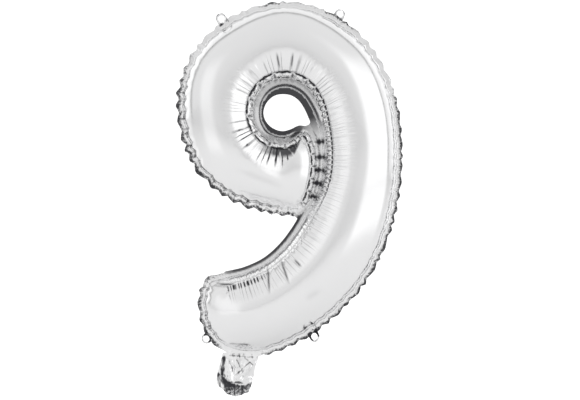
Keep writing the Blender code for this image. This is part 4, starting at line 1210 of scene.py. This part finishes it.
def tabs(f, x):
    foil = loose_foil()
    rim = f.shared[f.front_of]
    for k, (name, spot, way, reach) in enumerate(TABS):
        base, along, out = tab_frame(spot)
        way = np.array(way) / np.linalg.norm(way)
        root = FLANGE - TAB_NOTCH
        half = TAB_WIDTH / 2
        tip = base + out * root + way * ((reach - root - TAB_R) / (way @ out))
        a = np.linspace(-math.pi / 2, math.pi / 2, 19)
        arc = [tip + TAB_R * (np.sin(t) * along + np.cos(t) * out) for t in a]
        start = base + out * (root - 2.2)
        outline = even(np.array([start - along * half, *arc, start + along * half][::-1]), 0.6)
        t = np.linspace(0, 2 * math.pi, 29)[:-1]
        hole = tip + TAB_EYE * np.column_stack([np.cos(t), np.sin(t)])
        if inside(tip[None], outline)[0] is False:
            raise ValueError(name)
        spots, tris = patch(outline, 0.7, 31 + k, hole)
        local = np.column_stack([(spots - base) @ along, (spots - base) @ out])
        v = local[:, 1] - root
        grow = np.clip((v + 0.5) / 2.5, 0, 1)
        y = TAB_SHAPES[k][0] * np.clip(v, 0, None) ** 1.3 * 0.25
        y += TAB_SHAPES[k][1] * np.sin(local[:, 0] * 0.75 + TAB_SHAPES[k][2]) * grow
        y += 0.9 * grow * lattice_noise(local, 3.2, 41 + k) + 0.35 * grow * lattice_noise(local, 1.4, 51 + k)
        # the root follows the puckered flange it grows from
        near = np.nonzero(rim & (np.hypot(x[:, 0] - base[0], x[:, 2] - base[1]) < 16))[0]
        d, i = nearest(spots, x[near][:, [0, 2]])
        foot = x[near][i, 1]
        foot = np.array([foot[np.linalg.norm(spots - s, axis=1) < 1.6].mean() for s in spots])
        y += foot * np.clip(1 - (v + 0.5) / 4.0, 0, 1)
        p = np.column_stack([spots[:, 0], y, spots[:, 1]])
        n = normals_of(p, tris)
        if n[:, 1].mean() > 0:
            tris, n = tris[:, ::-1], -n
        # painted shade: a band past the tab's root, along its sides and round its eyelet
        dark = TAB_SHADE[k][0] * np.clip((v + TAB_SHADE[k][1]) / 2.0, 0, 1) * np.clip((TAB_SHADE[k][2] - v) / 1.5, 0, 1)
        dark = np.maximum(dark, 0.55 * np.clip((np.abs(local[:, 0]) - 4.4) / 1.0, 0, 1))
        dark = np.maximum(dark, 0.6 * np.clip((np.linalg.norm(spots - tip, axis=1) - 4.1) / 0.5, 0, 1) * (v > 1))
        obj = sheet(name.replace("hanging_", "") + "_skin", p + n * 0.12, tris, foil, n, 0.24, shade=dark)
        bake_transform(obj)
        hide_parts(name)


# ----------------------------------------------------------------------- light and stage
def studio():
    """A white light tent: pale floor, two tall soft boxes, and a darker slot around the
    lens and behind the object's sides, as a mirror-bright thing would show them."""
    world = bpy.data.worlds.new("light_tent")
    bpy.context.scene.world = world
    world.use_nodes = True
    t = world.node_tree
    back = t.nodes["Background"]
    way = node(t, "ShaderNodeTexCoord").outputs["Generated"]
    parts = node(t, "ShaderNodeSeparateXYZ")
    t.links.new(way, parts.inputs[0])
    dx, dy, dz = parts.outputs
    # azimuth from the camera side, 0 to 180 degrees on the right, negative on the left
    turn = maths(t, "MULTIPLY", maths(t, "ARCTAN2", dx, maths(t, "MULTIPLY", dy, -1.0)), 180 / math.pi)
    rise = maths(t, "MULTIPLY", maths(t, "ARCSINE", dz), 180 / math.pi)
    polar = maths(t, "MULTIPLY", maths(t, "ARCCOSINE", maths(t, "MULTIPLY", dy, -1.0)), 180 / math.pi)

    def window(value, a, b, soft, tree=t):
        up = step_between(tree, value, a - soft, a + soft)
        down = step_between(tree, value, b - soft, b + soft, 1.0, 0.0)
        return maths(tree, "MULTIPLY", up, down)

    light = curve_of(t, polar, TENT)
    total = maths(t, "MULTIPLY", light, 1.0)
    for kind, (a0, a1), (e0, e1), soft, power in BOXES:
        box = maths(t, "MULTIPLY", window(turn, a0, a1, soft), window(rise, e0, e1, 12.0))
        if kind == "add":
            total = maths(t, "ADD", total, maths(t, "MULTIPLY", box, power))
        else:
            total = maths(t, "MULTIPLY", total, maths(t, "SUBTRACT", 1.0, maths(t, "MULTIPLY", box, power)))
    seen = node(t, "ShaderNodeLightPath")
    glossy = maths(t, "MAXIMUM", seen.outputs["Is Glossy Ray"], 0.0)
    # what the eye sees directly, and what lights dull surfaces, is plain white
    plain = maths(t, "ADD", maths(t, "MULTIPLY", seen.outputs["Is Camera Ray"], 0.25), 0.95)
    mix = node(t, "ShaderNodeMix", data_type="FLOAT")
    t.links.new(glossy, mix.inputs["Factor"])
    t.links.new(plain, mix.inputs["A"])
    t.links.new(total, mix.inputs["B"])
    t.links.new(mix.outputs["Result"], back.inputs["Strength"])
    back.inputs["Color"].default_value = (1, 1, 1, 1)

    made, m, b = new_material("pale_floor")
    b.inputs["Roughness"].default_value = 0.9
    b.inputs["Specular IOR Level"].default_value = 0.0
    place = node(m, "ShaderNodeTexCoord").outputs["Object"]
    grain = noise_of(m, place, 3.0, 4.0)
    tone = maths(m, "ADD", maths(m, "MULTIPLY", grain, 0.02), FLOOR_TONE)
    m.links.new(vector_of(m, tone, tone, tone), b.inputs["Base Color"])
    seen = node(m, "ShaderNodeLightPath")
    b.inputs["Emission Color"].default_value = (1, 1, 1, 1)
    # painted light: the soft boxes stand on the floor and light it, so the floor glows in their directions where only a
    # mirror sees it
    where = node(m, "ShaderNodeSeparateXYZ")
    m.links.new(place, where.inputs[0])
    fx, fy = where.outputs[0], where.outputs[1]
    turn = maths(m, "MULTIPLY", maths(m, "ARCTAN2", fx, maths(m, "MULTIPLY", fy, -1.0)), 180 / math.pi)
    span = maths(m, "SQRT", maths(m, "ADD", maths(m, "MULTIPLY", fx, fx), maths(m, "MULTIPLY", fy, fy)))
    spill = FLOOR_MIRRORED
    for kind, (a0, a1), _, soft, power in BOXES:
        lit = maths(m, "MULTIPLY", window(turn, a0, a1, soft, m), step_between(m, span, 0.45, 1.1))
        spill = maths(m, "ADD", maths(m, "MULTIPLY", lit, power), spill)
    m.links.new(maths(m, "ADD", maths(m, "MULTIPLY", seen.outputs["Is Camera Ray"], FLOOR_GLOW), maths(m, "MULTIPLY", seen.outputs["Is Glossy Ray"], spill)), b.inputs["Emission Strength"])
    mesh = bpy.data.meshes.new("floor")
    r = 14.0
    low = CAD_BOX[0][2] - 0.03
    mesh.from_pydata([(-r, -r, low), (r, -r, low), (r, r, low), (-r, r, low)], [], [(0, 1, 2, 3)])
    mesh.materials.append(made)
    floor = bpy.data.objects.new("floor", mesh)
    bpy.context.scene.collection.objects.link(floor)

    for name, at, size, power in LAMPS:
        lamp = bpy.data.lights.new(name, "AREA")
        lamp.shape, lamp.size, lamp.size_y, lamp.energy = "RECTANGLE", size[0], size[1], power
        obj = bpy.data.objects.new(name, lamp)
        obj.location = at
        obj.rotation_euler = (Vector((0, 0, 0)) - Vector(at)).to_track_quat("-Z", "Y").to_euler()
        obj.visible_glossy = False
        bpy.context.scene.collection.objects.link(obj)

    camera = bpy.data.cameras.new("camera")
    camera.sensor_width = 36.0
    camera.lens = 36.0 * CAMERA_AWAY / 0.580
    camera.clip_end = 100.0
    obj = bpy.data.objects.new("camera", camera)
    bpy.context.scene.collection.objects.link(obj)
    obj.location = (-DATUM[0] * 0.001, -CAMERA_AWAY, -DATUM[1] * 0.001)
    obj.rotation_euler = (math.pi / 2, 0, 0)
    bpy.context.scene.camera = obj
    bpy.context.scene.view_settings.view_transform = "Standard"
    bpy.context.scene.view_settings.look = "None"

film, shape = inflate()
shape = wrinkle(film, shape)
skins(film, shape)
tail()
tabs(film, shape)
studio()
